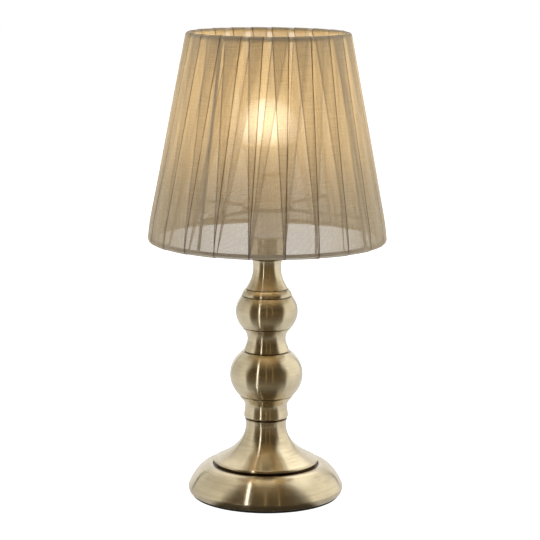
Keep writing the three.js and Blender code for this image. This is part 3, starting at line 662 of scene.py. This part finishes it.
def glossy_card(name, places, faces, light):
    """Stage mesh that only glossy rays meet, its radiance kept as a colour per point."""
    card = add_mesh(name, places.reshape(-1, 3), faces.tolist(), smooth=None)
    held = card.data.attributes.new("radiance", "FLOAT_COLOR", "POINT")
    colours = np.concatenate([light, np.ones((*light.shape[:2], 1))], -1)
    held.data.foreach_set("color", colours.astype(np.float32).ravel())
    material, tree, surface = new_material(name)
    seen = put(tree, "Attribute", attribute_name="radiance").outputs["Color"]
    tree.links.new(put(tree, "Emission", {"Color": seen}).outputs[0], surface)
    material.cycles.emission_sampling = "NONE"
    card.data.materials.append(material)
    card.visible_camera = card.visible_diffuse = card.visible_transmission = card.visible_shadow = False
    card.visible_volume_scatter = False


def make_front_flag():
    """Table in front as the foot mirrors it: a sector of 66 degrees to each side, from under the rim out.

    Its middle, 44 degrees to each side and 60 further out, is nearly black beside the foot, grey from 0.1 m,
    dark from 0.3 m and warm from half a metre. The strip light continues over it.
    """
    reach = 66
    a, r = np.meshgrid(np.linspace(-reach, reach, 2 * reach + 1), np.geomspace(0.0565, 2.5, 44))
    sides, over_table, ball_height = 0.6, 0.0006, 0.08
    middle = band(a, 0, 44 + 16 * smooth_step(r, 0.07, 0.2), 6)
    places = around(r, np.radians(a), over_table)
    toward = places - (0, 0, ball_height)
    toward /= np.linalg.norm(toward, axis=-1)[..., None]
    strip = band(fan_angle(toward, STRIP_SIDE), 0, STRIP_HALF, STRIP_SOFT)
    light = painted(
        np.ones(a.shape + (3,)) * sides,
        ((0.06, 0.05, 0.036), middle),
        ((0.32, 0.29, 0.23), middle * smooth_step(r, 0.085, 0.125)),
        ((0.08, 0.066, 0.048), middle * smooth_step(r, 0.2, 0.34)),
        (FRONT_WARM, middle * smooth_step(r, 0.4, 0.7)),
        (STRIP_LIGHT, strip * smooth_step(r, 0.075, 0.15) * 0.7),
    )
    glossy_card("front_flag", places, grid_faces(*a.shape), light)


def make_tent():
    """Studio round the lamp that only glossy rays meet, its radiance worked out per point of a sphere.

    Azimuth a is from the front, minus to the left, and e is the elevation. The room in front is dark up to 70
    degrees to each side, 64 higher up, and ends between 65 and 78 degrees up. Soft boxes stand at both sides,
    with a slanting dark edge behind each at about 140 degrees. White paper hangs behind, lights hang high at
    the back, the ceiling is bright, and narrow strip lights stand in front along fans of directions.
    """
    columns, rows, radius = 720, 181, 2.6
    a, e = np.meshgrid(np.linspace(-180, 180, columns, endpoint=False), np.linspace(-89.5, 89.5, rows))
    low = 1 - smooth_step(e, 55, 70)
    front = band(a, 2, 70 - 6 * smooth_step(e, 10, 40), 8) * (1 - smooth_step(e, 65, 78))
    edge_dark = (0.05, 0.045, 0.035)
    light = painted(
        np.ones((rows, columns, 3)),
        # Left box, and its lower part
        ((0.95, 0.92, 0.83), band(a, -99, 37, 3)),
        ((0.74, 0.725, 0.67), band(a, -113, 24, 10) * (1 - smooth_step(e, 40, 60))),
        # Right box, and its upper part
        ((1.22, 1.2, 1.12), band(a, 103, 41, 3)),
        ((1.7, 1.7, 1.66), band(a, 92, 34, 8) * smooth_step(e, 36, 50)),
        # Lights high at the back, and the ceiling
        ((1.5, 1.5, 1.46), band(a, 145, 26, 10) * band(e, 62, 16, 8)),
        ((2.1, 2.05, 1.95), band(a, 155, 16, 8) * band(e, 47, 16, 8)),
        ((1.7, 1.65, 1.55), band(a, -157, 14, 8) * band(e, 47, 16, 8)),
        ((2.3, 2.15, 1.75), smooth_step(e, 66, 80)),
        # Dark edges behind the boxes
        (edge_dark, band(a, -137 - 0.28 * e, 2.2, 0.7) * low),
        (edge_dark, band(a, 147 - 0.28 * e, 2.2, 0.7) * low),
        # Dark room in front
        (FRONT_WARM, front),
        (FRONT_HIGH, front * smooth_step(e, 36, 52)),
        (FRONT_DEEP, front * smooth_step(e, 4, 18) * (1 - smooth_step(e, 32, 48))),
    )
    toward = around(np.cos(np.radians(e)), np.radians(a), np.sin(np.radians(e)))
    for post in (0, 10.5):
        near = np.abs(fan_angle(toward, post)) + 90 * (np.abs(a) > 90)
        light = painted(
            light,
            ((0.7, 0.54, 0.32), band(near, 0, 0.5, 0.25) * band(e, 22, 24, 8)),
            ((2.6, 2.0, 1.1), band(near, 0, 0.6, 0.3) * band(e, 1, 4, 2)),
        )
    off = fan_angle(toward, STRIP_SIDE) + 90 * (toward[..., 1] > 0.15)
    light = painted(light, (STRIP_LIGHT, band(off, 0, STRIP_HALF, STRIP_SOFT)))
    centre = (0, 0, 0.2)
    faces = grid_faces(rows, columns, close_columns=True)[:, ::-1]
    glossy_card("tent", toward * radius + centre, faces, light)


def make_lamps(side_power, bulb_power):
    """Two soft boxes that light the cloth and the plastic, and the glow that comes out of the bulb's dome."""
    for name, side, power in (("left_box", -1, side_power), ("right_box", 1, side_power * 1.15)):
        data = bpy.data.lights.new(name, "AREA")
        data.shape, data.size, data.size_y, data.energy = "RECTANGLE", 0.9, 1.3, power
        box = bpy.data.objects.new(name, data)
        bpy.context.scene.collection.objects.link(box)
        box.visible_camera = box.visible_glossy = False
        inward = Matrix.Rotation(math.radians(15) * side, 4, "Z")
        leant = Matrix.Rotation(math.radians(70) * side, 4, "Y")
        box.matrix_world = Matrix.Translation((1.3 * side, -0.35, 0.7)) @ inward @ leant
    inside_dome = Matrix.Translation((0, 0, (BULB_CENTRE + 6) * MM))
    for name, kind, power in (("bulb_glow", "POINT", bulb_power), ("bulb_upward", "SPOT", bulb_power * 0.85)):
        data = bpy.data.lights.new(name, kind)
        data.energy, data.color, data.shadow_soft_size = power, (1.0, 0.79, 0.44), 0.012
        data.use_soft_falloff = False
        if kind == "SPOT":
            data.spot_size, data.spot_blend = math.radians(160), 1.0
        glow = bpy.data.objects.new(name, data)
        bpy.context.scene.collection.objects.link(glow)
        glow.visible_camera = glow.visible_glossy = False
        glow.matrix_world = inside_dome @ Matrix.Rotation(math.pi, 4, "X")
        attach(glow, "bulb")


# Brass foot and column

def patina_and_shade_from_ends(profile, outline, reach, low, high, spots=()):
    """Value of patina and painted shade per profile point: exp(-(d / reach)^2) from the outline's ends and
    from each spot.
    """
    marks = [(outline[0], low, reach), (outline[-1], high, reach), *spots]
    value = np.zeros(len(profile))
    for place, strength, width in marks:
        gap = np.linalg.norm(profile - np.array(place, float), axis=1)
        value = np.maximum(value, strength * np.exp(-((gap / width) ** 2)))
    return value


def column_piece(name, outline, material):
    """Outline closed through the bore, with rounded lips and a little patina at both joints."""
    lip, reach, low, high = 0.35, 0.8, 0.5, 0.6
    profile = with_lips(outline, lip, BORE)
    piece = turned(name, profile, patina_and_shade=patina_and_shade_from_ends(profile, outline, reach, low, high))
    settle(piece, "lamp", "column_brass", material)


def make_column(material):
    """Turned pieces from the foot up. Each stands from foot to top, and a share of that is its waist."""
    foot, top = 59.9, 76.9
    waist = foot + (top - foot) * 0.51
    outline = joined(
        [(16.3, foot)],
        bezier((16.9, foot + 0.9), (16.7, foot + 3.6), (16.05, waist - 2.8), (16.05, waist)),
        bezier((16.05, waist), (16.05, waist + 3.4), (18.6, top - 3.3), (20.2, top - 0.7)),
        [(19.8, top)],
    )
    column_piece("foot_collar_dressed", outline, material)
    foot, top = 77.2, 110.6
    outline = ball_arc(foot + (top - foot) * 0.467, 27.5, 23.7, foot, top)
    column_piece("lower_ball_dressed", outline, material)
    foot, top = 110.9, 129.0
    waist = foot + (top - foot) * 0.5
    outline = joined(
        [(16.6, foot)],
        bezier((17.0, foot + 0.5), (16.2, foot + 3.7), (14.5, waist - 2.9), (14.5, waist)),
        bezier((14.5, waist), (14.5, waist + 4.3), (16.6, top - 2.4), (18.2, top - 0.5)),
        [(18.0, top)],
    )
    column_piece("waist_spool_dressed", outline, material)
    foot, top = 129.3, 153.1
    outline = ball_arc(foot + (top - foot) * 0.504, 23.35, 20.3, foot, top)
    column_piece("upper_ball_dressed", outline, material)
    outline = bezier((18.7, 153.4), (19.0, 155.2), (17.4, 157.4), (16.1, 158.4))
    column_piece("bead_ring_dressed", outline, material)
    foot, top = 158.7, 181.0
    waist = foot + (top - foot) * 0.7
    outline = joined(
        bezier((15.8, foot), (14.0, foot + 3.3), (10.5, foot + 8.3), (10.5, waist), 30),
        bezier((10.5, waist), (10.5, waist + 3.2), (11.1, top - 1.2), (11.7, top)),
    )
    column_piece("neck_vase_dressed", outline, material)
    foot, top, wall = 181.3, 197.8, 0.8
    curve = bezier((9.6, foot), (12.8, foot + 1.0), (13.4, foot + 4.0), (13.4, foot + 8.0))
    outline = joined(curve, [(13.4, top)])
    inner = inset(outline, wall)[3:-1]
    lip = rounded([(13.4, top - 0.6), (13.4, top), (12.6, top), (12.6, top - 0.6)], 0.35, 4)[4:-4]
    floor = [(9.4, foot + wall), (BORE, foot + wall)]
    profile = joined([(BORE, foot)], outline[:-1], lip, inner[::-1], floor)
    piece = turned("holder_cup_dressed", profile, patina_and_shade=patina_and_shade_from_ends(profile, outline, 1.4, 1.0, 0.4))
    settle(piece, "lamp", "column_brass", material)


def make_foot(material):
    """Spun shell of one wall: rim tucked under, dome, groove and step, then the trumpet.

    The inner wall dips under the groove. A lying cylinder cuts the cord inlet through the back of the rim.
    """
    rim = bezier((56.2, 1.7), (57.6, 1.7), (58.7, 3.7), (58.7, 6.8), 14)
    dome = bezier((58.7, 6.8), (57.8, 9.4), (50.6, 25.2), (41.0, 23.9), 44)
    crest = bezier((41.0, 23.9), (40.5, 23.9), (40.2, 23.7), (40.1, 23.2), 6)
    groove = bezier((40.1, 23.2), (40.0, 21.9), (38.0, 21.8), (37.9, 22.9), 10)
    step = bezier((37.9, 22.9), (37.9, 24.2), (38.0, 24.8), (38.5, 25.1), 6)
    lip = bezier((38.5, 25.1), (39.6, 25.5), (39.8, 26.9), (38.6, 27.5), 10)
    trumpet = bezier((38.6, 27.5), (30.4, 31.6), (15.4, 38.7), (15.35, 54.5), 50)
    top = bezier((15.35, 54.5), (15.35, 56.3), (15.9, 57.6), (15.9, 59.0), 8)
    end = bezier((15.9, 59.0), (15.9, 59.4), (15.7, 59.6), (15.3, 59.6), 5)
    outer = joined(rim, dome, crest, groove, step, lip, trumpet, top, end)
    under = [(41.4, 22.0), (40.6, 20.9), (37.6, 20.8), (36.8, 22.0), (36.8, 25.4)]
    inner = joined(inset(dome, SHELL_WALL)[:-6], under, inset(trumpet, SHELL_WALL)[4:-2])
    seat = [(BORE, 59.6), (BORE, 58.6), (14.6, 58.6)]
    profile = joined([(51.0, 1.7)], outer, seat, inner[::-1], [(56.8, 2.7), (51.0, 2.7)])
    # The first two spots darken the groove under the lip as painted shade over its patina; the third darkens
    # the rim a little near its foot.
    spots = [((39.0, 22.2), 1.8, 1.4), ((37.9, 23.8), 1.8, 1.1), ((58.0, 3.0), 0.3, 3.0)]
    patina_and_shade = patina_and_shade_from_ends(profile, np.array([(54.0, 1.7), (15.9, 59.6)]), 1.6, 0.8, 1.0, spots)
    shell = turned("base_shell_dressed", profile, sides=224, patina_and_shade=patina_and_shade)
    hole = turned("inlet_cutter", [(0, 50), (4.3, 50), (4.3, 62), (0, 62)], sides=48, lying=INLET_HEIGHT)
    cut = shell.modifiers.new("inlet", "BOOLEAN")
    cut.object, cut.operation, cut.solver = hole, "DIFFERENCE", "EXACT"
    bpy.context.view_layer.update()
    evaluated = shell.evaluated_get(bpy.context.evaluated_depsgraph_get())
    mesh = bpy.data.meshes.new_from_object(evaluated)
    shell.modifiers.clear()
    shell.data = mesh
    mesh.set_sharp_from_angle(angle=math.radians(35))
    bpy.data.objects.remove(hole)
    settle(shell, "lamp", "foot_brass", material)


def make_foot_fittings(foam, rubbery):
    """Pad under the foot, a disc with a rounded edge, and the bush of the cord inlet, turned lying down."""
    corners = [(0.5, 0), (PAD_RADIUS, 0), (PAD_RADIUS, PAD_THICKNESS), (0.5, PAD_THICKNESS)]
    edge = rounded(corners, 0.4)[5:-5]
    pad = turned("base_pad_dressed", joined([(0, 0)], edge, [(0, PAD_THICKNESS)]))
    settle(pad, "lamp", "pad_foam", foam)
    corners = [(3.1, 53.6), (4.0, 53.6), (4.0, 58.8), (5.5, 58.8), (5.1, 59.9), (3.1, 59.9)]
    sleeve = rounded(corners, [0.25, 0.25, 0.05, 0.1, 0.35, 0.5])
    bush = turned("cord_inlet_bush_dressed", sleeve, 64, lying=INLET_HEIGHT)
    settle(bush, "lamp", "bush_plastic", rubbery)


# Holder, bulb and frame

def upright(radius, low, high, count):
    """Evenly spaced points straight up at one radius."""
    return np.stack([np.full(count, radius), np.linspace(low, high, count)], 1)


def screw_thread(radius, pitch, depth, low, high):
    """Wave for turned(): the wall at the radius sinks by (1 - cos) / 2 of the depth along a helix.

    The helix is 2 pi z / pitch - a, and the groove fades in and out over two millimetres of height.
    """

    def wave(r, z, a):
        """Radius and height with the groove cut in."""
        on = np.clip((z - low) / 2, 0, 1) * np.clip((high - z) / 2, 0, 1) * (np.abs(r - radius) < 0.01)
        return r - depth * on * (0.5 - 0.5 * np.cos(2 * np.pi * z / pitch - a)), z + 0 * a

    return wave


def make_holder(plastic):
    """Sleeve with its seat flange and the thread for the ring nut, and the nut with twelve grips."""
    foot, seat, top = 198.6, 218.6, 244.6
    corners = [(9.1, foot), (12.8, foot), (14.0, 201.6), (14.0, 216.6), (17.5, 216.6), (17.5, seat)]
    outer = joined(
        rounded(corners, 0.4)[6:],
        [(SLEEVE_RADIUS, seat)],
        upright(SLEEVE_RADIUS, 219.0, 243.6, 140),
        [(13.2, top), (12.5, top)],
    )
    profile = joined([(9.1, foot)], outer, [(12.4, 244.4), (12.4, 212.8), (9.1, 212.8)])
    thread = screw_thread(SLEEVE_RADIUS, SLEEVE_PITCH, 0.35, 219.2, 243.4)
    skirt = turned("holder_skirt_dressed", profile, sides=96, wave=thread)
    settle(skirt, "lamp", "holder_plastic", plastic)

    def grips(r, z, a):
        """Twelve hollows round the edge, 0.8 mm deep: ((1 - cos 12a) / 2)^2."""
        edge = np.clip((r - 15.5) / 1.5, 0, 1)
        return r - edge * 0.8 * (0.5 - 0.5 * np.cos(12 * a)) ** 2, z + 0 * a

    section = rounded([(14.35, 220.8), (18.2, 220.8), (18.2, 225.8), (14.35, 225.8)], 0.6)
    nut = turned("shade_nut_dressed", section, sides=192, wave=grips)
    settle(nut, "ring_nut", "holder_plastic", plastic)


def make_bulb(metal, glass, body, diffuser):
    """Contact, insulator, screw cap with its thread, flared collar and the frosted dome.

    The collar and the dome throw no shadow, because the lamps that stand for the glow are inside them.
    """
    tip, top = 222.9, 224.2
    button = bezier((0.1, tip), (1.2, tip), (2.0, tip + 0.2), (2.4, tip + 0.9), 8)
    contact = joined([(0, tip)], button, [(2.4, top), (0, top)])
    settle(turned("bulb_contact_dressed", contact, 48), "bulb_tip", "cap_metal", metal)
    foot, top = 224.3, 227.5
    flank = bezier((3.2, foot), (4.2, foot + 0.4), (5.4, foot + 1.6), (5.95, top), 10)
    cone = joined([(0, foot)], flank, [(0, top)])
    settle(turned("bulb_insulator_dressed", cone, 64), "bulb", "cap_glass", glass)
    low, high = 227.6, 246.6
    shell = joined(
        [(5.35, low), (6.3, low + 0.3)],
        upright(CAP_RADIUS, low + 1.0, high - 1.2, 100),
        [(6.6, high - 0.6), (6.6, high), (5.95, high), (5.95, low + 1.2)],
    )
    thread = screw_thread(CAP_RADIUS, CAP_PITCH, 0.5, low + 1.5, high - 2.5)
    settle(turned("bulb_cap_dressed", shell, 96, wave=thread), "bulb", "cap_metal", metal)
    foot, top, edge = 246.7, DOME_FOOT - 0.2, math.sqrt(BULB_RADIUS**2 - 9.8**2)
    outline = bezier((10.5, foot), (11.3, foot + 8.0), (edge - 3.0, top - 9.0), (edge, top), 24)
    inner = bezier((9.9, foot + 3.6), (10.6, foot + 9.5), (edge - 4.4, top - 7.5), (edge - 1.6, top), 16)
    brim = [(edge - 0.1, top - 0.25), (edge - 0.3, top)]
    wall = joined([(4.0, foot), (9.9, foot)], outline[1:-1], brim, inner[::-1], [(4.0, foot + 1.6)])
    collar = settle(turned("bulb_collar_dressed", wall, 128), "bulb", "bulb_body", body)
    collar.visible_shadow = False
    outer = ball_arc(BULB_CENTRE, BULB_RADIUS, BULB_RADIUS, DOME_FOOT, BULB_CENTRE + BULB_RADIUS, 44)
    hollow = BULB_RADIUS - 0.8
    inner = ball_arc(BULB_CENTRE, hollow, hollow, DOME_FOOT, BULB_CENTRE + hollow, 24)
    outer[-1, 0] = inner[-1, 0] = 0.0
    dome = turned("bulb_dome_dressed", joined(inner[::-1], outer), 144)
    settle(dome, "bulb", "bulb_diffuser", diffuser)
    dome.visible_shadow = False


def weld_bar(name, start, end, radius, material, node):
    """Round wire that swells a little at both ends, where it is welded on."""
    length = np.linalg.norm(np.array(end) - np.array(start))
    s = np.array([0.0, 0.0, 0.15, 0.5, 1.0, 1.8, 3.0])
    r = radius + np.array([-0.5, -0.2, 0.0, 0.15, 0.1, 0.02, 0.0]) * 0.3
    profile = np.concatenate([np.stack([s, r], 1), np.stack([length - s, r], 1)[::-1]])
    settle(bar(name, start, end, profile), "shade", "frame_wire", material, node)


def make_frame(wire):
    """Two wire rings, four struts between them, and the spider whose arms reach from the fitter ring."""
    for name, (radius, height) in (("bottom", LOW_RING), ("top", HIGH_RING)):
        a = np.linspace(0, 2 * np.pi, 24, endpoint=False)
        section = np.stack([radius + WIRE * np.cos(a), height + WIRE * np.sin(a)], 1)
        settle(turned("shade_%s_ring_dressed" % name, section, 192), "shade", "frame_wire", wire)
    fitter = rounded([(14.6, 218.9), (19.0, 218.9), (19.0, 220.5), (14.6, 220.5)], 0.45)
    settle(turned("fitter_ring_dressed", fitter, 128), "shade", "frame_wire", wire)
    low, high = np.array(LOW_RING), np.array(HIGH_RING)
    up = (high - low) / np.linalg.norm(high - low)
    start, end = low + up * 1.45, high - up * 1.45
    inner_end, outer_end = 19.15, low[0] + (ARM_HEIGHT - low[1]) * up[0] / up[1] - STRUT - 0.3
    for i, azimuth in enumerate(STRUT_ANGLES):
        number = "_%d" % (i + 1)
        ends = [around(radius, azimuth, height) for radius, height in (start, end)]
        weld_bar("shade_strut_dressed" + number, *ends, STRUT, wire, "shade_strut" + number)
        ends = [around(radius, azimuth, ARM_HEIGHT) for radius in (inner_end, outer_end)]
        weld_bar("spider_arm_dressed" + number, *ends, WIRE, wire, "spider_arm" + number)


# Ribbon

def ribbon_slips():
    """How far each turn has slipped from its even place at the bottom and at the top ring, in radians.

    The front turns follow the photograph, the others get a small seeded jitter.
    """
    jitter = np.random.default_rng(7)
    low, high = jitter.uniform(-0.35, 0.35, TURNS), jitter.uniform(-1.2, 1.2, TURNS)
    low[-np.arange(-4, 5) % TURNS] = [-0.35, -0.85, -0.85, -0.3, 0.0, -0.13, -0.18, 0.3, 0.26]
    high[-np.arange(-3, 6) % TURNS] = [1.5, 0.7, -0.6, 0.3, -0.3, -1.2, -2.5, -2.5, -2.0]
    return np.radians(low), np.radians(high)


def make_ribbon(cloth):
    """One ribbon, wound 22 times: under the bottom ring, up outside, over the top ring and down inside.

    A wrap is a half circle about the ring's wire, wire, gap and lap away, square to the slope. The lap grows
    across the width, so each turn lies over its right neighbour. At the bottom ring the ribbon is drawn in to
    1.05 pitches. A pass is straight from wrap to wrap, and the inner one slants by one pitch. A slow wave of
    a tenth of a millimetre keeps the passes from being flat, and the outer ones swell by up to 0.9 mm just
    above the bottom ring. Slits in the inner passes let the spider's arms through.
    """
    columns, wraps, passes = 19, 11, 26
    drawn_in, gap, lap_rise = 0.525 * PITCH, 1.0, 0.27
    sway, swelling, slit_half_width, slit_half_height = 0.12, 0.9, 2.4, 3.4
    across = np.linspace(-1, 1, columns)
    up = np.array(HIGH_RING) - np.array(LOW_RING)
    up /= np.linalg.norm(up)
    out = np.array([up[1], -up[0]])
    low_slip, high_slip = ribbon_slips()
    turn = np.arange(TURNS + 1)

    def wrap(ring, slip, first, last):
        """Points of all turns round one ring, from the first to the last angle about its wire."""
        half = RIBBON / 2 / ring[0] if ring is HIGH_RING else drawn_in
        spread = half * across[None, None, :]
        lap = WIRE + gap + lap_rise * (spread + RIBBON / 2 / HIGH_RING[0]) / PITCH
        angle = np.radians(np.linspace(first, last, wraps))[None, :, None]
        azimuth = (-turn * PITCH + slip[turn % TURNS])[:, None, None] + spread
        r = ring[0] + lap * (np.cos(angle) * out[0] + np.sin(angle) * up[0])
        z = ring[1] + lap * (np.cos(angle) * out[1] + np.sin(angle) * up[1])
        return around(r, azimuth, z + 0 * azimuth)

    bottom, top = wrap(LOW_RING, low_slip, 180, 360), wrap(HIGH_RING, high_slip, 0, 180)
    t = np.linspace(0, 1, passes + 2)[1:-1][None, :, None, None]
    phase = np.random.default_rng(11).uniform(0, 2 * np.pi, (TURNS, 1, 1, 1))
    swing = sway * np.sin(np.pi * t) * np.sin(2 * np.pi * 1.3 * t + phase + 1.5 * across[None, None, :, None])
    swell = swelling * (1 - t) * np.clip(t / 0.08, 0, 1)

    def pushed_out(points, distance):
        """Points moved away from the axis by the distance."""
        level = points * (1, 1, 0)
        return points + distance * level / np.linalg.norm(level, axis=-1, keepdims=True)

    outer = pushed_out(bottom[:-1, -1:] * (1 - t) + top[:-1, :1] * t, swing + swell)
    inner = pushed_out(top[:-1, -1:] * (1 - t) + bottom[1:, :1] * t, swing)
    points = np.concatenate([bottom[:-1], outer, top[:-1], inner], 1)
    points = np.concatenate([points.reshape(-1, columns, 3), bottom[-1:, 0]])[2:]
    along = run_length(points[:, columns // 2])
    uv = np.stack(np.broadcast_arrays((across + 1)[None, :] * RIBBON / 2, along[:, None]), -1).reshape(-1, 2)
    faces = grid_faces(len(points), columns)
    middle = points.reshape(-1, 3)[faces].mean(1)
    radius, azimuth = np.hypot(middle[:, 0], middle[:, 1]), np.arctan2(middle[:, 0], -middle[:, 1])
    off = np.abs((azimuth[:, None] - STRUT_ANGLES + np.pi) % (2 * np.pi) - np.pi).min(1) * radius
    slope = LOW_RING[0] + (middle[:, 2] - LOW_RING[1]) * up[0] / up[1]
    beside, level = off < slit_half_width, np.abs(middle[:, 2] - ARM_HEIGHT) < slit_half_height
    kept = faces[~(beside & level & (radius < slope))]
    ribbon = add_mesh(
        "shade_ribbon_dressed", points.reshape(-1, 3) * MM, kept.tolist(), uv=uv * MM, smooth=None
    )
    settle(ribbon, "shade", "ribbon_organza", cloth)


def dress_hidden(finishes):
    """CAD pieces that keep their shape inside the lamp get a finish of their own."""
    for node, material in finishes.items():
        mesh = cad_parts[node].data
        mesh.materials.clear()
        mesh.materials.append(material)


make_camera()
make_world(0.6)
make_floor(0.7)
make_tent()
make_front_flag()
make_lamps(12.5, 0.63)

build_lathe_marks()
build_mottle()
build_aged_brass()
build_organza_weave()

column_brass = brass("column_brass", (0.69, 0.6, 0.42, 1), (0.55, 0.47, 0.32, 1))
foot_brass = brass("foot_brass", (0.69, 0.59, 0.41, 1), (0.55, 0.465, 0.31, 1))
foam = moulded("pad_foam", (0.02, 0.019, 0.018), (0.008, 0.008, 0.007), (0.85, 0.95), 120.0, 900.0, 0.0002)
dark_plastic = moulded("bush_plastic", (0.03, 0.027, 0.024), (0.018, 0.016, 0.014), (0.4, 0.55))
cast = moulded(
    "cast_weight", (0.1, 0.095, 0.09), (0.05, 0.047, 0.045), (0.6, 0.85), 80.0, 700.0, 0.0003, metallic=0.6
)
coated = moulded("frame_coat", (0.28, 0.265, 0.25), (0.21, 0.2, 0.19), (0.35, 0.5), 90.0, 1200.0, 0.00003)
plastic = moulded("holder_plastic", (0.78, 0.73, 0.64), (0.66, 0.61, 0.53), (0.35, 0.5), 50.0, 1800.0)
body = moulded("bulb_body", (0.8, 0.77, 0.71), (0.68, 0.65, 0.59), (0.4, 0.5), 70.0, 2000.0)
plate = moulded("led_plate", (0.85, 0.84, 0.8), (0.7, 0.69, 0.66), (0.4, 0.5), 150.0, 1500.0)
glass = moulded("cap_glass", (0.02, 0.018, 0.018), (0.008, 0.008, 0.008), (0.08, 0.16), 80.0, 900.0, 0.00001)
steel = drawn_metal("plated_steel", (0.6, 0.59, 0.56), (0.48, 0.46, 0.42))
contact = drawn_metal("contact_metal", (0.78, 0.58, 0.3), (0.6, 0.42, 0.2))
cap = drawn_metal("cap_metal", (0.72, 0.71, 0.68), (0.58, 0.56, 0.53))

make_foot(foot_brass)
make_foot_fittings(foam, dark_plastic)
make_column(column_brass)
make_holder(plastic)
make_bulb(cap, glass, body, lit_diffuser())
make_frame(coated)
make_ribbon(organza())
dress_hidden(
    {
        "base_weight": cast,
        "rod_nut": steel,
        "rod_washer": steel,
        "threaded_rod": steel,
        "column_nut": steel,
        "holder_base": plastic,
        "holder_insert": plastic,
        "screw_shell": contact,
        "centre_contact": contact,
        "bulb_led_plate": plate,
    }
)

scene = bpy.context.scene
scene.view_settings.view_transform = "Standard"
scene.cycles.transparent_max_bounces = 24
